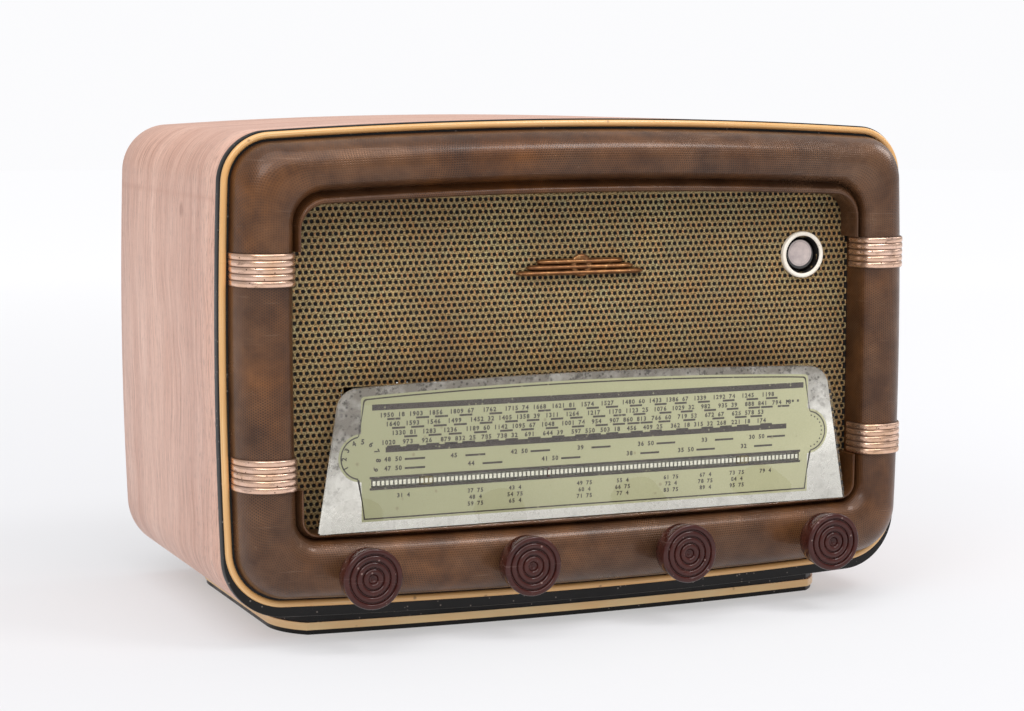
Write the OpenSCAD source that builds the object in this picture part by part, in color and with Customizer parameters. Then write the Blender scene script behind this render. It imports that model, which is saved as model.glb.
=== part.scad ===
/* [Cabinet] */
// Width of the cabinet over its sides
cabinet_w = 500; // [470:1:610]
// Height of the front between its lower and upper trim lines
front_h = 318; // [300:1:390]
// Depth from the middle of the front face to the rear edge of the wood
cabinet_d = 273; // [262:1:340]
// Rise of the top edge in the middle over its ends
top_arch = 8.7; // [4:0.1:12]
// Drop of the bottom edge in the middle under its ends
bottom_arch = 5; // [3:0.1:7]
// Bulge of each side at mid height
side_bulge = 4.3; // [2:0.1:6]
// Radius of the upper corners
top_corner_r = 34; // [28:1:40]
// Radius of the lower corners
bottom_corner_r = 40; // [32:1:46]
// Thickness of the wooden shell
wood_t = 10; // [8:0.5:12]
// Forward bow of the front in plan
front_bow = 8; // [4:0.5:10]
// Depth of the lacquered front frame at the sides
frame_side_d = 10; // [8:0.5:14]
// Height of the frame's lower rail under the trim
rail_drop = 6; // [4:0.5:8]

/* [Plinth] */
// Width of the plinth
plinth_w = 410; // [380:1:430]
// Depth of the plinth
plinth_d = 240; // [220:1:250]
// Height of the plinth
plinth_h = 14; // [13:0.5:16]
// Radius of the plinth's corners in plan
plinth_corner_r = 46; // [30:1:50]
// Height of the pale stripe around the plinth
stripe_h = 5; // [4:0.5:6]
// Height of the dark band under the stripe
stripe_z = 3.2; // [2.5:0.1:4]

/* [Front moulding] */
// Width of the pale trim line
trim_w = 5.3; // [4:0.1:6]
// Height of the trim line over the frame
trim_h = 2.8; // [2:0.1:3.5]
// Shadow gap between trim and moulding
trim_gap = 1.5; // [1:0.1:2]
// Width of the opening between the two side columns
opening_w = 412; // [404:1:420]
// Width of the inner lip at the sides
lip_side_w = 5; // [4:0.5:7]
// Width of the inner lip at the top
lip_top_w = 8.5; // [6:0.5:9]
// Width of the inner lip at the bottom
lip_bottom_w = 4.5; // [3:0.5:6]
// Width of the moulding above the opening, without its lip
head_w = 32.7; // [28:0.1:38]
// Width of the moulding below the opening, without its lip
sill_w = 42.2; // [40:0.1:46]
// Height of the moulding over the frame
moulding_h = 27.6; // [24:0.1:30]
// Height of each ribbed clip
clip_h = 21.5; // [18:0.5:26]
// Number of ribs on a clip
clip_ribs = 5; // [3:1:7]
// Height of the middle of the lower clips above the trim's lower line
clip_low = 94; // [86:1:100]
// Height of the middle of the upper clips above the trim's lower line
clip_high = 224.5; // [215:1:232]

/* [Baffle] */
// Thickness of the baffle board
baffle_t = 8; // [6:0.5:9]
// Thickness of the grille cloth
cloth_t = 1.2; // [0.8:0.1:1.6]

/* [Dial] */
// Width of the dial glass at its bottom
dial_w = 384; // [370:1:392]
// Height of the dial glass
dial_h = 97; // [88:1:104]
// Lean of each glass side over the full height
dial_lean = 15; // [8:0.5:18]
// Rise of the glass top in the middle
dial_arch = 4; // [2:0.5:6]
// Radius of the upper glass corners
dial_corner_r = 15; // [8:1:18]
// Thickness of the glass
glass_t = 4; // [3:0.5:5]
// Distance from the cloth to the front of the glass
dial_stand = 25.6; // [24:0.2:27]
// Width of the printed panel
panel_w = 325; // [310:1:332]
// Height of the printed panel at its middle
panel_h = 84.5; // [78:0.5:88]
// Radius of the round ears of the panel
ear_r = 15.5; // [12:0.5:17]
// Length of the clear scale window
window_w = 312; // [290:1:316]
// Height of the clear scale window
window_h = 6.4; // [5:0.1:8]
// Share of the scale that lies left of the pointer at rest
pointer_share = 0.4; // [0.2:0.05:0.8]

/* [Knobs] */
// Diameter of a knob
knob_d = 39.4; // [34:0.2:44]
// Depth of a knob
knob_t = 16; // [12:0.5:18]
// Distance of the two inner knobs from the middle
knob_x_inner = 56.6; // [50:0.2:64]
// Distance of the two outer knobs from the middle
knob_x_outer = 166.2; // [150:0.2:174]
// Height of the shafts above the trim's lower line
knob_rise = 29.6; // [28:0.2:32]
// Distance from the moulding's crown to the knob's back
knob_gap = 6.9; // [5:0.1:8]
// Diameter of the shafts
shaft_d = 6; // [5:0.25:6.5]

/* [Indicator] */
// Sideways place of the tuning indicator
eye_x = 169; // [160:0.5:174]
// Height of the tuning indicator under the lip of the head
eye_drop = 47; // [42:0.5:60]
// Outer diameter of the indicator's ring
eye_ring_d = 32; // [28:0.5:36]
// Inner diameter of the indicator's ring
eye_open_d = 25.5; // [22:0.5:26]

/* [Loudspeaker] */
// Diameter of the loudspeaker's flange
speaker_d = 146; // [120:1:150]
// Depth of the loudspeaker
speaker_depth = 66; // [58:1:72]
// Sideways place of the loudspeaker
speaker_x = -100; // [-110:1:-90]

/* [Chassis] */
// Width of the chassis
chassis_w = 400; // [380:1:430]
// Depth of the chassis
chassis_d = 158; // [150:1:170]
// Height of the chassis
chassis_h = 59; // [52:1:64]
// Thickness of the chassis sheet
sheet_t = 1.2; // [0.8:0.1:1.6]
// Width across the tuning drum
drum_d = 198.6; // [180:0.2:200]

/* [Hidden] */
$fn = 96;

// Clearances
seat_gap = 0.1;
slip = 0.05;
air = 0.3;

// Levels and planes
z_low = plinth_h + rail_drop;
z_high = z_low + front_h;
y_front = -cabinet_d / 2 + 0.5;
y_rear = y_front + cabinet_d;
y_face = y_front + 2.5;
bow_r = (pow(cabinet_w / 2, 2) + pow(front_bow, 2)) / (2 * front_bow);
y_edge = y_face + front_bow;
y_wood = y_edge + frame_side_d - 2.5;
frame_inset = 12;
y_cloth = y_edge - 2;
y_baffle = y_cloth + cloth_t;
y_baffle_rear = y_baffle + baffle_t;
z_knob = z_low + knob_rise;
z_lip = z_low + trim_w + trim_gap + sill_w + lip_bottom_w;
z_head = z_high - trim_w - trim_gap - head_w;
y_chassis = y_baffle_rear + 58;
y_chassis_rear = y_chassis + chassis_d;
chassis_hw = chassis_w / 2;
z_floor = plinth_h + wood_t;
z_chassis = z_floor + 5;
z_chassis_top = z_chassis + chassis_h;
shaft_r = shaft_d / 2;
bush_r = shaft_r + 1.8;
shaft_hole_r = shaft_r + 4;
knob_places = [-knob_x_outer, -knob_x_inner, knob_x_inner, knob_x_outer];

// Outline of the front: side, top and bottom circles with corner radii.
function sag_radius(half, sag) = (half * half + sag * sag) / (2 * sag);
function make_curve(hw, zb, zt, ab, at, ss, rb, rt) =
    let (rs = sag_radius((zt - zb) / 2, ss), ra = sag_radius(hw, at), rd = sag_radius(hw, ab))
    [[hw - rs, (zt + zb) / 2], rs, [0, zt - ra], ra, [0, zb + rd], rd, rb, rt];
function inset(c, d) = [c[0], c[1] - d, c[2], c[3] - d, c[4], c[5] - d, c[6] - d, c[7] - d];
function arc(c, r, a, b, n) = [for (i = [0:n]) c + r * [cos(a + (b - a) * i / n),
    sin(a + (b - a) * i / n)]];
function drop_first(p) = [for (i = [1:len(p) - 1]) p[i]];
function drop_last(p) = [for (i = [0:len(p) - 2]) p[i]];
function turned(p) = [for (i = [len(p) - 1:-1:0]) p[i]];
function mirrored(p) = [for (q = p) [-q[0], q[1]]];
function angle(v) = atan2(v[1], v[0]);
// Point at distance d1 from c1 and d2 from c2, on the side with the larger x
function meet(c1, d1, c2, d2) =
    let (v = c2 - c1, span = norm(v), u = v / span, a = (d1 * d1 - d2 * d2 + span * span) / (2 * span),
        h = sqrt(d1 * d1 - a * a), p = c1 + a * u + h * [-u[1], u[0]], q = c1 + a * u - h * [-u[1], u[0]])
    p[0] > q[0] ? p : q;
// Right half of the outline from height z up to the middle of the top
function rise(c, z, ns, nc, nt) =
    let (f = meet(c[0], c[1] - c[7], c[2], c[3] - c[7]), a = angle(f - c[0]), b = angle(f - c[2]))
    concat(arc(c[0], c[1], asin((z - c[0][1]) / c[1]), a, ns), drop_first(arc(f, c[7], a, b, nc)),
        drop_first(arc(c[2], c[3], b, 90, nt)));
// Right half of the outline from height z down to the middle of the bottom
function fall(c, z, ns, nc, nt) =
    let (f = meet(c[0], c[1] - c[6], c[4], c[5] - c[6]), a = angle(f - c[0]), b = angle(f - c[4]))
    concat(arc(c[0], c[1], asin((z - c[0][1]) / c[1]), a, ns), drop_first(arc(f, c[6], a, b, nc)),
        drop_first(arc(c[4], c[5], b, -90, nt)));
function loop(c, ns = 4, nc = 10, nt = 8) =
    let (z = c[0][1], right = concat(turned(fall(c, z, ns, nc, nt)), drop_first(rise(c, z, ns, nc, nt))))
    concat(right, drop_first(drop_last(turned(mirrored(right)))));
function both(half) = concat(half, drop_first(turned(mirrored(half))));
function face_y(x) = y_face + bow_r - sqrt(bow_r * bow_r - x * x);

front_curve = make_curve(cabinet_w / 2, z_low, z_high, bottom_arch, top_arch, side_bulge,
    bottom_corner_r, top_corner_r);
body_curve = make_curve(cabinet_w / 2, plinth_h, z_high, bottom_arch, top_arch, side_bulge,
    bottom_corner_r, top_corner_r);
moulding_curve = inset(front_curve, trim_w + trim_gap);
column_x = opening_w / 2 + (cabinet_w - 500) / 2;
sill_curve = make_curve(column_x, z_lip - lip_bottom_w, z_head, 1, 6, 1, 14, 22);
lip_curve = make_curve(column_x - lip_side_w, z_lip, z_head - lip_top_w, 0.6, 5.5, 1, 9, 17);

// Closed solid through a row of equal sections; a ring joins its last section to its first.
module loft(sections, ring = false) {
    n = len(sections);
    m = len(sections[0]);
    steps = ring ? n : n - 1;
    sides = [for (i = [0:steps - 1]) for (j = [0:m - 1])
        [i * m + j, i * m + (j + 1) % m, ((i + 1) % n) * m + (j + 1) % m, ((i + 1) % n) * m + j]];
    ends = ring ? [] : [[for (j = [m - 1:-1:0]) j], [for (j = [0:m - 1]) (n - 1) * m + j]];
    polyhedron(points = [for (s = sections) for (p = s) p], faces = concat(sides, ends), convexity = 6);
}
// Flat plate in the front plane, from y0 back to y1
module plate(y0, y1) {
    translate([0, y1, 0]) rotate([90, 0, 0]) linear_extrude(height = y1 - y0) children();
}
// Cylinder along Y
module post(x, z, r, y0, y1) {
    translate([x, y1, z]) rotate([90, 0, 0]) cylinder(r = r, h = y1 - y0);
}
// Block between two corners
module block(a, b) {
    translate(a) cube(b - a);
}
// Everything behind the bowed front face
module bowed() {
    half = cabinet_w / 2 + 10;
    linear_extrude(height = z_high + 60)
        polygon(concat([[half, y_rear], [-half, y_rear]], [for (k = [-13:13]) [k * half / 13,
            face_y(k * half / 13)]]));
}

// ---- Cabinet ----
module wood_shell() {
    color("rosybrown")
    plate(y_wood, y_rear) difference() {
        polygon(loop(body_curve));
        polygon(loop(inset(body_curve, wood_t)));
    }
}

module front_frame() {
    color("black")
    intersection() {
        plate(y_face - 2, y_wood) difference() {
            polygon(loop(body_curve));
            polygon(loop(inset(front_curve, frame_inset)));
        }
        bowed();
    }
}

trim_profile = [[0, 0], [0, 0.4], [0.12, 0.8], [0.32, 0.97], [0.5, 1], [0.68, 0.97], [0.88, 0.8], [1,
    0.4], [1, 0]];
module trim_piping() {
    outer = loop(front_curve, 3, 8, 6);
    inner = loop(inset(front_curve, trim_w), 3, 8, 6);
    color("wheat")
    loft([for (i = [0:len(outer) - 1]) [for (s = trim_profile)
        let (p = outer[i] + s[0] * (inner[i] - outer[i]))
        [p[0], face_y(p[0]) - seat_gap - s[1] * trim_h, p[1]]]], ring = true);
}

module plinth_outline(d = 0) {
    hw = plinth_w / 2 - d;
    r = sag_radius(plinth_w / 2, 12);
    intersection() {
        translate([0, r - plinth_d / 2]) circle(r = r - d, $fn = 360);
        offset(r = plinth_corner_r) offset(delta = -plinth_corner_r)
            translate([-hw, d - plinth_d / 2]) square([2 * hw, plinth_d - 2 * d]);
    }
}

module plinth() {
    color("black")
    difference() {
        linear_extrude(height = plinth_h + bottom_arch) plinth_outline(1);
        plate(y_face - 2, y_rear + 1) polygon(loop(body_curve));
        translate([0, 0, stripe_z]) linear_extrude(height = stripe_h) difference() {
            plinth_outline(0);
            plinth_outline(5);
        }
    }
}

module plinth_stripe() {
    color("wheat")
    translate([0, 0, stripe_z]) linear_extrude(height = stripe_h) difference() {
        plinth_outline(0);
        plinth_outline(5);
    }
}

// ---- Front moulding ----
body_profile = [[0.015, 0.25], [0.06, 0.49], [0.14, 0.71], [0.25, 0.87], [0.38, 0.963], [0.52, 1],
    [0.68, 0.993],
    [0.82, 0.942], [0.92, 0.833], [0.98, 0.69]];
lip_profile = [[0.05, 0.5], [0.35, 0.62], [0.6, 0.72], [0.85, 0.74]];
y_moulding = y_cloth - seat_gap;
seat_share = 0.2;

// Section of the moulding from its outer edge o over its body edge b to its lip edge i
function moulding_section(o, b, i, lip) = concat(
    [[o[0], face_y(o[0]) - seat_gap, o[1]]],
    [for (s = body_profile) let (p = o + s[0] * (b - o)) [p[0], face_y(p[0]) - s[1] * moulding_h, p[1]]],
    lip ? [for (s = lip_profile) let (p = b + s[0] * (i - b)) [p[0], face_y(p[0]) - s[1] * moulding_h,
        p[1]]]
        : [[b[0], face_y(b[0]) - 0.5 * moulding_h, b[1]]],
    lip ? [[i[0], face_y(i[0]) - 0.68 * moulding_h, i[1]], [i[0], y_moulding, i[1]]] : [[b[0],
        y_moulding, b[1]]],
    [let (p = o + seat_share * (b - o)) [p[0], y_moulding, p[1]],
        let (p = o + seat_share * (b - o)) [p[0], face_y(p[0]) - seat_gap, p[1]]]);
function moulding_sections(o, b, i, lip) = [for (k = [0:len(o) - 1]) moulding_section(o[k], b[k], i[k],
    lip)];

z_clip_high = z_low + clip_high;
z_clip_low = z_low + clip_low;
z_head_cut = z_clip_high + clip_h / 2;
z_sill_cut = z_clip_low - clip_h / 2;
joint_gap = 0.15;

module bezel_top() {
    z = z_head_cut + joint_gap;
    color("saddlebrown")
    loft(turned(moulding_sections(both(rise(moulding_curve, z, 3, 7, 7)), both(rise(sill_curve, z, 3,
        7, 7)),
        both(rise(lip_curve, z, 3, 7, 7)), true)));
}

module bezel_bottom() {
    z = z_sill_cut - joint_gap;
    color("saddlebrown")
    difference() {
        loft(moulding_sections(both(fall(moulding_curve, z, 3, 7, 7)), both(fall(sill_curve, z, 3, 7, 7)),
            both(fall(lip_curve, z, 3, 7, 7)), true));
        for (x = knob_places) post(x, z_knob, shaft_hole_r, y_face - 60, y_baffle_rear);
    }
}

function column_points(c, n) = arc(c[0], c[1], asin((z_sill_cut - c[0][1]) / c[1]),
    asin((z_head_cut - c[0][1]) / c[1]), n);
module column() {
    b = column_points(sill_curve, 6);
    loft(turned(moulding_sections(column_points(moulding_curve, 6), b, b, false)));
}

module bezel_left() {
    color("saddlebrown")
    mirror([1, 0, 0]) column();
}

module bezel_right() {
    color("saddlebrown")
    column();
}

// Ribbed band over a column: a thin skin that follows the moulding, with ribs on it
clip_air = 0.3;
clip_skin = 1;
rib_h = 0.9;
rib_share = 0.7;
// Plan of the skin's outer or inner side at height z, raised over the moulding by lift
function clip_plan(z, lift) =
    let (c = moulding_curve, o = c[0][0] + sqrt(pow(c[1], 2) - pow(z - c[0][1], 2)),
        e = sill_curve, b = e[0][0] + sqrt(pow(e[1], 2) - pow(z - e[0][1], 2)))
    concat([[o + lift * 0.2, face_y(o) - 1]],
        [for (s = body_profile) let (x = o + s[0] * (b - o))
            [x + lift * (s[0] < 0.3 ? 0.6 - s[0] * 2 : s[0] > 0.85 ? -0.6 : 0),
                face_y(x) - s[1] * moulding_h - lift]],
        [[b - lift, face_y(b) - 0.5 * moulding_h], [b - lift, y_cloth - 6]]);
module clip_band(z, z0, z1, lift) {
    translate([0, 0, z0]) linear_extrude(height = z1 - z0)
        polygon(concat(clip_plan(z, clip_air + clip_skin + lift), turned(clip_plan(z, clip_air))));
}
module clip(z) {
    pitch = clip_h / clip_ribs;
    z0 = z - clip_h / 2;
    clip_band(z, z0, z0 + clip_h, 0);
    for (k = [0:clip_ribs - 1]) clip_band(z, z0 + pitch * (k + (1 - rib_share) / 2),
        z0 + pitch * (k + (1 + rib_share) / 2), rib_h);
}

module bezel_clips() {
    color("peru")
    for (side = [0, 1]) mirror([side, 0, 0]) {
        clip(z_clip_low);
        clip(z_clip_high);
    }
}

// ---- Baffle and grille ----
hatch_w = 2 * (dial_w / 2 - 22);
z_dial = z_lip + 0.5;
z_hatch = z_dial + 5;
hatch_h = dial_h - 9;
z_eye = z_head - lip_top_w - eye_drop;
speaker_r = speaker_d / 2;
z_speaker = z_high - wood_t - top_arch * pow(speaker_x * 2 / cabinet_w, 2) - speaker_r - 8;

module hatch() {
    translate([-hatch_w / 2, z_hatch]) square([hatch_w, hatch_h]);
}

module baffle_board() {
    color("tan")
    difference() {
        plate(y_baffle, y_baffle_rear) difference() {
            polygon(loop(inset(front_curve, frame_inset + 1)));
            hatch();
            translate([speaker_x, z_speaker]) circle(r = speaker_r - 10);
            translate([eye_x, z_eye]) circle(r = eye_open_d / 2 + 2.5);
        }
        for (x = knob_places) post(x, z_knob, shaft_hole_r, y_baffle - 1, y_baffle_rear + 1);
    }
}

module grille_cloth() {
    color("darkkhaki")
    difference() {
        plate(y_cloth, y_baffle) difference() {
            polygon(loop(inset(front_curve, frame_inset + 5)));
            hatch();
            translate([eye_x, z_eye]) circle(r = eye_open_d / 2);
        }
        for (x = knob_places) post(x, z_knob, shaft_hole_r, y_cloth - 1, y_baffle + 1);
    }
}

// Slim fluted ornament with rounded ends, in the middle of the grille
bar_w = 90;
bar_h = 11;
module trim_bar() {
    z = z_head - lip_top_w - 50;
    color("saddlebrown")
    for (k = [-1, 0, 1]) {
        w = bar_w / 2 - abs(k) * 8;
        hull() {
            for (s = [-1, 1]) translate([s * w, y_cloth - 2.2, z + k * bar_h / 3]) sphere(r = 2.1,
                $fn = 16);
        }
    }
}

// ---- Tuning indicator ----
module eye_ring() {
    color("ivory")
    translate([eye_x, y_cloth, z_eye]) rotate([90, 0, 0]) difference() {
        union() {
            cylinder(r = eye_ring_d / 2, h = 2);
            translate([0, 0, 2]) cylinder(r1 = eye_ring_d / 2, r2 = eye_ring_d / 2 - 1.2, h = 1.4);
        }
        translate([0, 0, -1]) cylinder(r = eye_open_d / 2, h = 6);
    }
}

eye_tube_r = eye_open_d / 2 - 1.2;
y_eye_tube = y_baffle - 0.5;
module eye_tube() {
    color("lightgrey")
    translate([eye_x, y_eye_tube, z_eye]) rotate([-90, 0, 0]) {
        rotate_extrude() polygon(concat([[0, 0]], arc([eye_tube_r - 3, 3], 3, -90, 0, 6),
            [[eye_tube_r, 62], [eye_tube_r + 1.6, 62], [eye_tube_r + 1.6, 80], [0, 80]]));
    }
}

module eye_bracket() {
    r = eye_tube_r + 0.2;
    y0 = y_baffle_rear;
    color("silver")
    difference() {
        union() {
            post(eye_x, z_eye, eye_open_d / 2 + 8, y0, y0 + 1.5);
            post(eye_x, z_eye, r + 1.5, y0, y0 + 26);
        }
        post(eye_x, z_eye, r, y0 - 1, y0 + 30);
    }
}

// ---- Dial ----
y_glass = y_cloth - dial_stand;
y_print = y_glass + glass_t;
print_t = 0.3;
z_print = z_dial + (dial_h - panel_h) / 2 + 0.75;
z_window = z_print + panel_h * 0.29;
z_ear = z_print + panel_h * 0.49;

// Outline of the glass with its sides run on to a line under its foot, so that only its top corners round
foot_run = 40;
function dial_points(d) = let (h = dial_h - dial_arch - d, t = dial_w / 2 - dial_lean - d,
        w = t + dial_lean * (h + foot_run) / h, r = sag_radius(t, dial_arch))
    concat([[-w, -foot_run], [w, -foot_run]],
        arc([0, h + dial_arch - r], r, 90 - asin(t / r), 90 + asin(t / r), 16));
module dial_outline(d = 0) {
    translate([0, z_dial]) offset(r = dial_corner_r - d) offset(delta = d - dial_corner_r)
        polygon(dial_points(d));
}
module dial_shape(d = 0) {
    intersection() {
        dial_outline(d);
        translate([-dial_w, z_dial + d]) square([2 * dial_w, dial_h * 2]);
    }
}
module panel_shape() {
    r = sag_radius(panel_w / 2, dial_arch);
    translate([0, z_print]) polygon(concat([[-panel_w / 2, 0], [panel_w / 2, 0]],
        arc([0, panel_h - r], r, 90 - asin(panel_w / 2 / r), 90 + asin(panel_w / 2 / r), 16)));
    for (s = [-1, 1]) translate([s * panel_w / 2, z_ear]) circle(r = ear_r);
}

module dial_glass() {
    color("lightcyan", 0.4)
    plate(y_glass, y_print) dial_shape();
}

module dial_panel() {
    color("darkseagreen")
    plate(y_print, y_print + print_t) difference() {
        panel_shape();
        translate([-window_w / 2, z_window - window_h / 2]) square([window_w, window_h]);
    }
}

module dial_mirror() {
    color("gainsboro")
    plate(y_print, y_print + print_t) difference() {
        dial_shape(0.8);
        panel_shape();
    }
}

backplate_w = hatch_w - 8;
y_backplate = y_print + 11;
z_backplate = z_hatch + 2;
backplate_h = hatch_h - 10;
arm_h = 30;
module dial_backplate() {
    hw = backplate_w / 2;
    color("ghostwhite")
    difference() {
        union() {
            block([-hw, y_backplate, z_backplate], [hw, y_backplate + sheet_t, z_backplate + backplate_h]);
            for (s = [-1, 1]) {
                block([s * (hw - sheet_t / 2) - sheet_t / 2, y_print + print_t, z_backplate],
                    [s * (hw - sheet_t / 2) + sheet_t / 2, y_chassis, z_backplate + arm_h]);
                block([s * hw - (s > 0 ? 12 : 0), y_chassis - sheet_t, z_chassis_top - 20],
                    [s * hw + (s > 0 ? 0 : 12), y_chassis, z_backplate + arm_h]);
                block([s * hw - (s > 0 ? sheet_t : 0), y_rail - 8, z_backplate],
                    [s * hw + (s > 0 ? 0 : sheet_t), y_rail + 3, z_rail + 8]);
                block([s > 0 ? hw - 1 : -pulley_x - 4, y_run - 6, z_pulley - 4],
                    [s > 0 ? pulley_x + 4 : 1 - hw, y_run - 4.5, z_pulley + 4]);
                post(s * pulley_x, z_pulley, 2, y_run - 5, y_run + 2.8);
            }
        }
        for (s = [-1, 1]) {
            post(s * lamp_x, z_window, lamp_r + 0.3, y_backplate - 1, y_backplate + 3);
            translate([s * hw - 2, y_rail, z_rail]) rotate([0, 90, 0]) cylinder(r = rail_r, h = 4);
        }
    }
}

lamp_x = dial_w * 0.3;
lamp_r = 5;
module dial_lamps() {
    color("khaki")
    for (s = [-1, 1]) translate([s * lamp_x, y_backplate, z_window]) rotate([-90, 0, 0]) {
        translate([0, 0, -1.5]) sphere(r = lamp_r - 0.4, $fn = 32);
        translate([0, 0, -1.5]) cylinder(r = lamp_r - 1, h = 22);
        translate([0, 0, sheet_t]) cylinder(r = lamp_r + 2, h = 1.5);
    }
}

// ---- Pointer drive ----
rail_r = 1.5;
y_rail = y_backplate + 34;
z_rail = z_backplate + backplate_h - 10;
z_run = z_rail + 9;
y_run = y_rail + 5;
travel = window_w;
x_pointer = -travel / 2 + travel * pointer_share;
module pointer_rail() {
    hw = backplate_w / 2;
    color("silver")
    translate([-hw - 1, y_rail, z_rail]) rotate([0, 90, 0]) cylinder(r = rail_r, h = 2 * hw + 2, $fn = 32);
}

module pointer() {
    z_over = z_backplate + backplate_h + 1.5;
    y_needle = y_print + print_t + 2.2;
    color("firebrick")
    difference() {
        union() {
            block([x_pointer - 5, y_rail - 3.2, z_rail - 3.5], [x_pointer + 5, y_run - 1.4, z_rail + 3.5]);
            block([x_pointer - 2, y_rail - 3.2, z_rail + 3], [x_pointer + 2, y_rail - 2, z_over + 1]);
            block([x_pointer - 2, y_needle, z_over], [x_pointer + 2, y_rail - 2, z_over + 1]);
            block([x_pointer - 0.8, y_needle, z_window - 9], [x_pointer + 0.8, y_needle + 0.8, z_over + 1]);
        }
        translate([x_pointer - 6, y_rail, z_rail]) rotate([0, 90, 0]) cylinder(r = rail_r + slip,
            h = 12, $fn = 32);
    }
}

drum_r = drum_d / 2;
drum_x = 75;
z_drum = z_chassis_top + 77;
y_drum = y_run + 6.5;
drum_t = 6;
groove = 1.5;
pulley_r = 8;
barrel_r = 5;
cord_r = 0.4;
pulley_x = backplate_w / 2 + 11;
cord_off = cord_r + air;
z_pulley = z_run - pulley_r - cord_off;

// Wheel with a cord groove, turning about Y
module grooved_wheel(x, z, y0, y1, r, bore, depth = groove) {
    ym = (y0 + y1) / 2;
    translate([x, ym, z]) rotate([90, 0, 0]) difference() {
        cylinder(r = r + depth, h = y1 - y0, center = true);
        rotate_extrude() polygon([[r + depth + 1, -depth - 0.4], [r, -0.6], [r, 0.6], [r + depth + 1,
            depth + 0.4]]);
        cylinder(r = bore, h = y1 - y0 + 2, center = true);
    }
}

module drive_drum() {
    color("silver")
    difference() {
        grooved_wheel(drum_x, z_drum, y_drum - drum_t / 2, y_drum + drum_t / 2, drum_r,
            gang_shaft_r + slip);
        post(drum_x, z_drum, drum_r - 5, y_drum - drum_t, y_drum - 1);
        for (a = [0:60:300]) post(drum_x + 58 * cos(a), z_drum + 58 * sin(a), 19, y_drum - drum_t,
            y_drum + drum_t);
    }
}

module idler(x) {
    color("brown")
    grooved_wheel(x, z_pulley, y_run - 2.5, y_run + 2.5, pulley_r, 2 + slip);
}

module pulley_left() {
    idler(-pulley_x);
}

module pulley_right() {
    idler(pulley_x);
}

// Cord loop: [centre x, centre z, radius, turning sense, y]
cord_wheels = [
    [pulley_x, z_pulley, pulley_r + cord_off, 1, y_run],
    [-pulley_x, z_pulley, pulley_r + cord_off, 1, y_run],
    [drum_x, z_drum, drum_r + cord_off, 1, y_drum],
    [knob_x_outer, z_knob, barrel_r + cord_off, 1, y_drum]];
function tangent_angle(a, b) = let (v = [b[0] - a[0], b[1] - a[1]])
    atan2(v[1], v[0]) - asin((b[3] * b[2] - a[3] * a[2]) / norm(v));
// Cord section where it touches wheel w while running in direction t
function cord_section(w, t) = [for (k = [0:5]) let (r = w[3] * w[2] + cord_r * cos(60 * k))
    [w[0] + r * sin(t), w[4] + cord_r * sin(60 * k), w[1] - r * cos(t)]];
module drive_cord() {
    n = len(cord_wheels);
    sections = [for (i = [0:n - 1]) let (a = cord_wheels[i], b = cord_wheels[(i + 1) % n],
            c = cord_wheels[(i + 2) % n], leave = tangent_angle(a, b),
            wrap = (tangent_angle(b, c) - leave + 720) % 360, m = ceil(wrap / 12))
        for (k = [0:m]) cord_section(b, leave + wrap * k / m)];
    color("tan")
    loft(sections, ring = true);
}

// ---- Knobs and controls ----
y_knob = y_face - moulding_h - knob_gap;
ring_r = 1.9;
ring_gap = 0.5;
knob_rim = 3.8;
face_sink = 1.4;
boss_r = 8;
module knob(x) {
    r = knob_d / 2;
    r_rings = r - knob_rim - ring_gap - ring_r;
    pitch = 2 * ring_r + ring_gap;
    color("maroon")
    translate([x, y_knob, z_knob]) rotate([90, 0, 0]) difference() {
        union() {
            rotate_extrude() {
                polygon(concat([[0, 0], [r - 1.6, 0], [r, knob_t - 2]], arc([r - 1, knob_t - 1], 1, 0,
                    90, 5),
                    [[r - knob_rim, knob_t], [r - knob_rim, knob_t - face_sink], [0, knob_t - face_sink]]));
                for (k = [0:2]) translate([r_rings - pitch * k, knob_t - face_sink - 0.3])
                    circle(r = ring_r, $fn = 32);
            }
            translate([0, 0, -4]) cylinder(r = boss_r, h = 5);
        }
        translate([0, 0, -5]) cylinder(r = shaft_d / 2 + slip / 2, h = 15);
        translate([0, 0, knob_t - face_sink - 0.6]) cylinder(r = 1.6, h = 3);
    }
}

module knob_volume() {
    knob(-knob_x_outer);
}

module knob_tone() {
    knob(-knob_x_inner);
}

module knob_band() {
    knob(knob_x_inner);
}

module knob_tuning() {
    knob(knob_x_outer);
}

module control_shaft(x, length) {
    color("silver")
    post(x, z_knob, shaft_r, y_knob - 9.5, y_chassis + length);
}
// Control body behind the chassis front, its threaded bush and nut in front
module control(x, r, depth, tone_of) {
    color(tone_of)
    difference() {
        union() {
            post(x, z_knob, r, y_chassis + sheet_t, y_chassis + sheet_t + depth);
            post(x, z_knob, bush_r, y_chassis - 8, y_chassis + sheet_t + 1);
            translate([x, y_chassis, z_knob]) rotate([90, 0, 0]) cylinder(r = bush_r + 2.4, h = 2.2,
                $fn = 6);
        }
        post(x, z_knob, shaft_r + slip, y_chassis - 9, y_chassis + sheet_t + depth - 2);
    }
}

module volume_control() {
    control(-knob_x_outer, 12, 22, "dimgray");
}

module volume_shaft() {
    control_shaft(-knob_x_outer, 12);
}

module tone_control() {
    control(-knob_x_inner, 12, 12, "dimgray");
}

module tone_shaft() {
    control_shaft(-knob_x_inner, 8);
}

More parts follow.
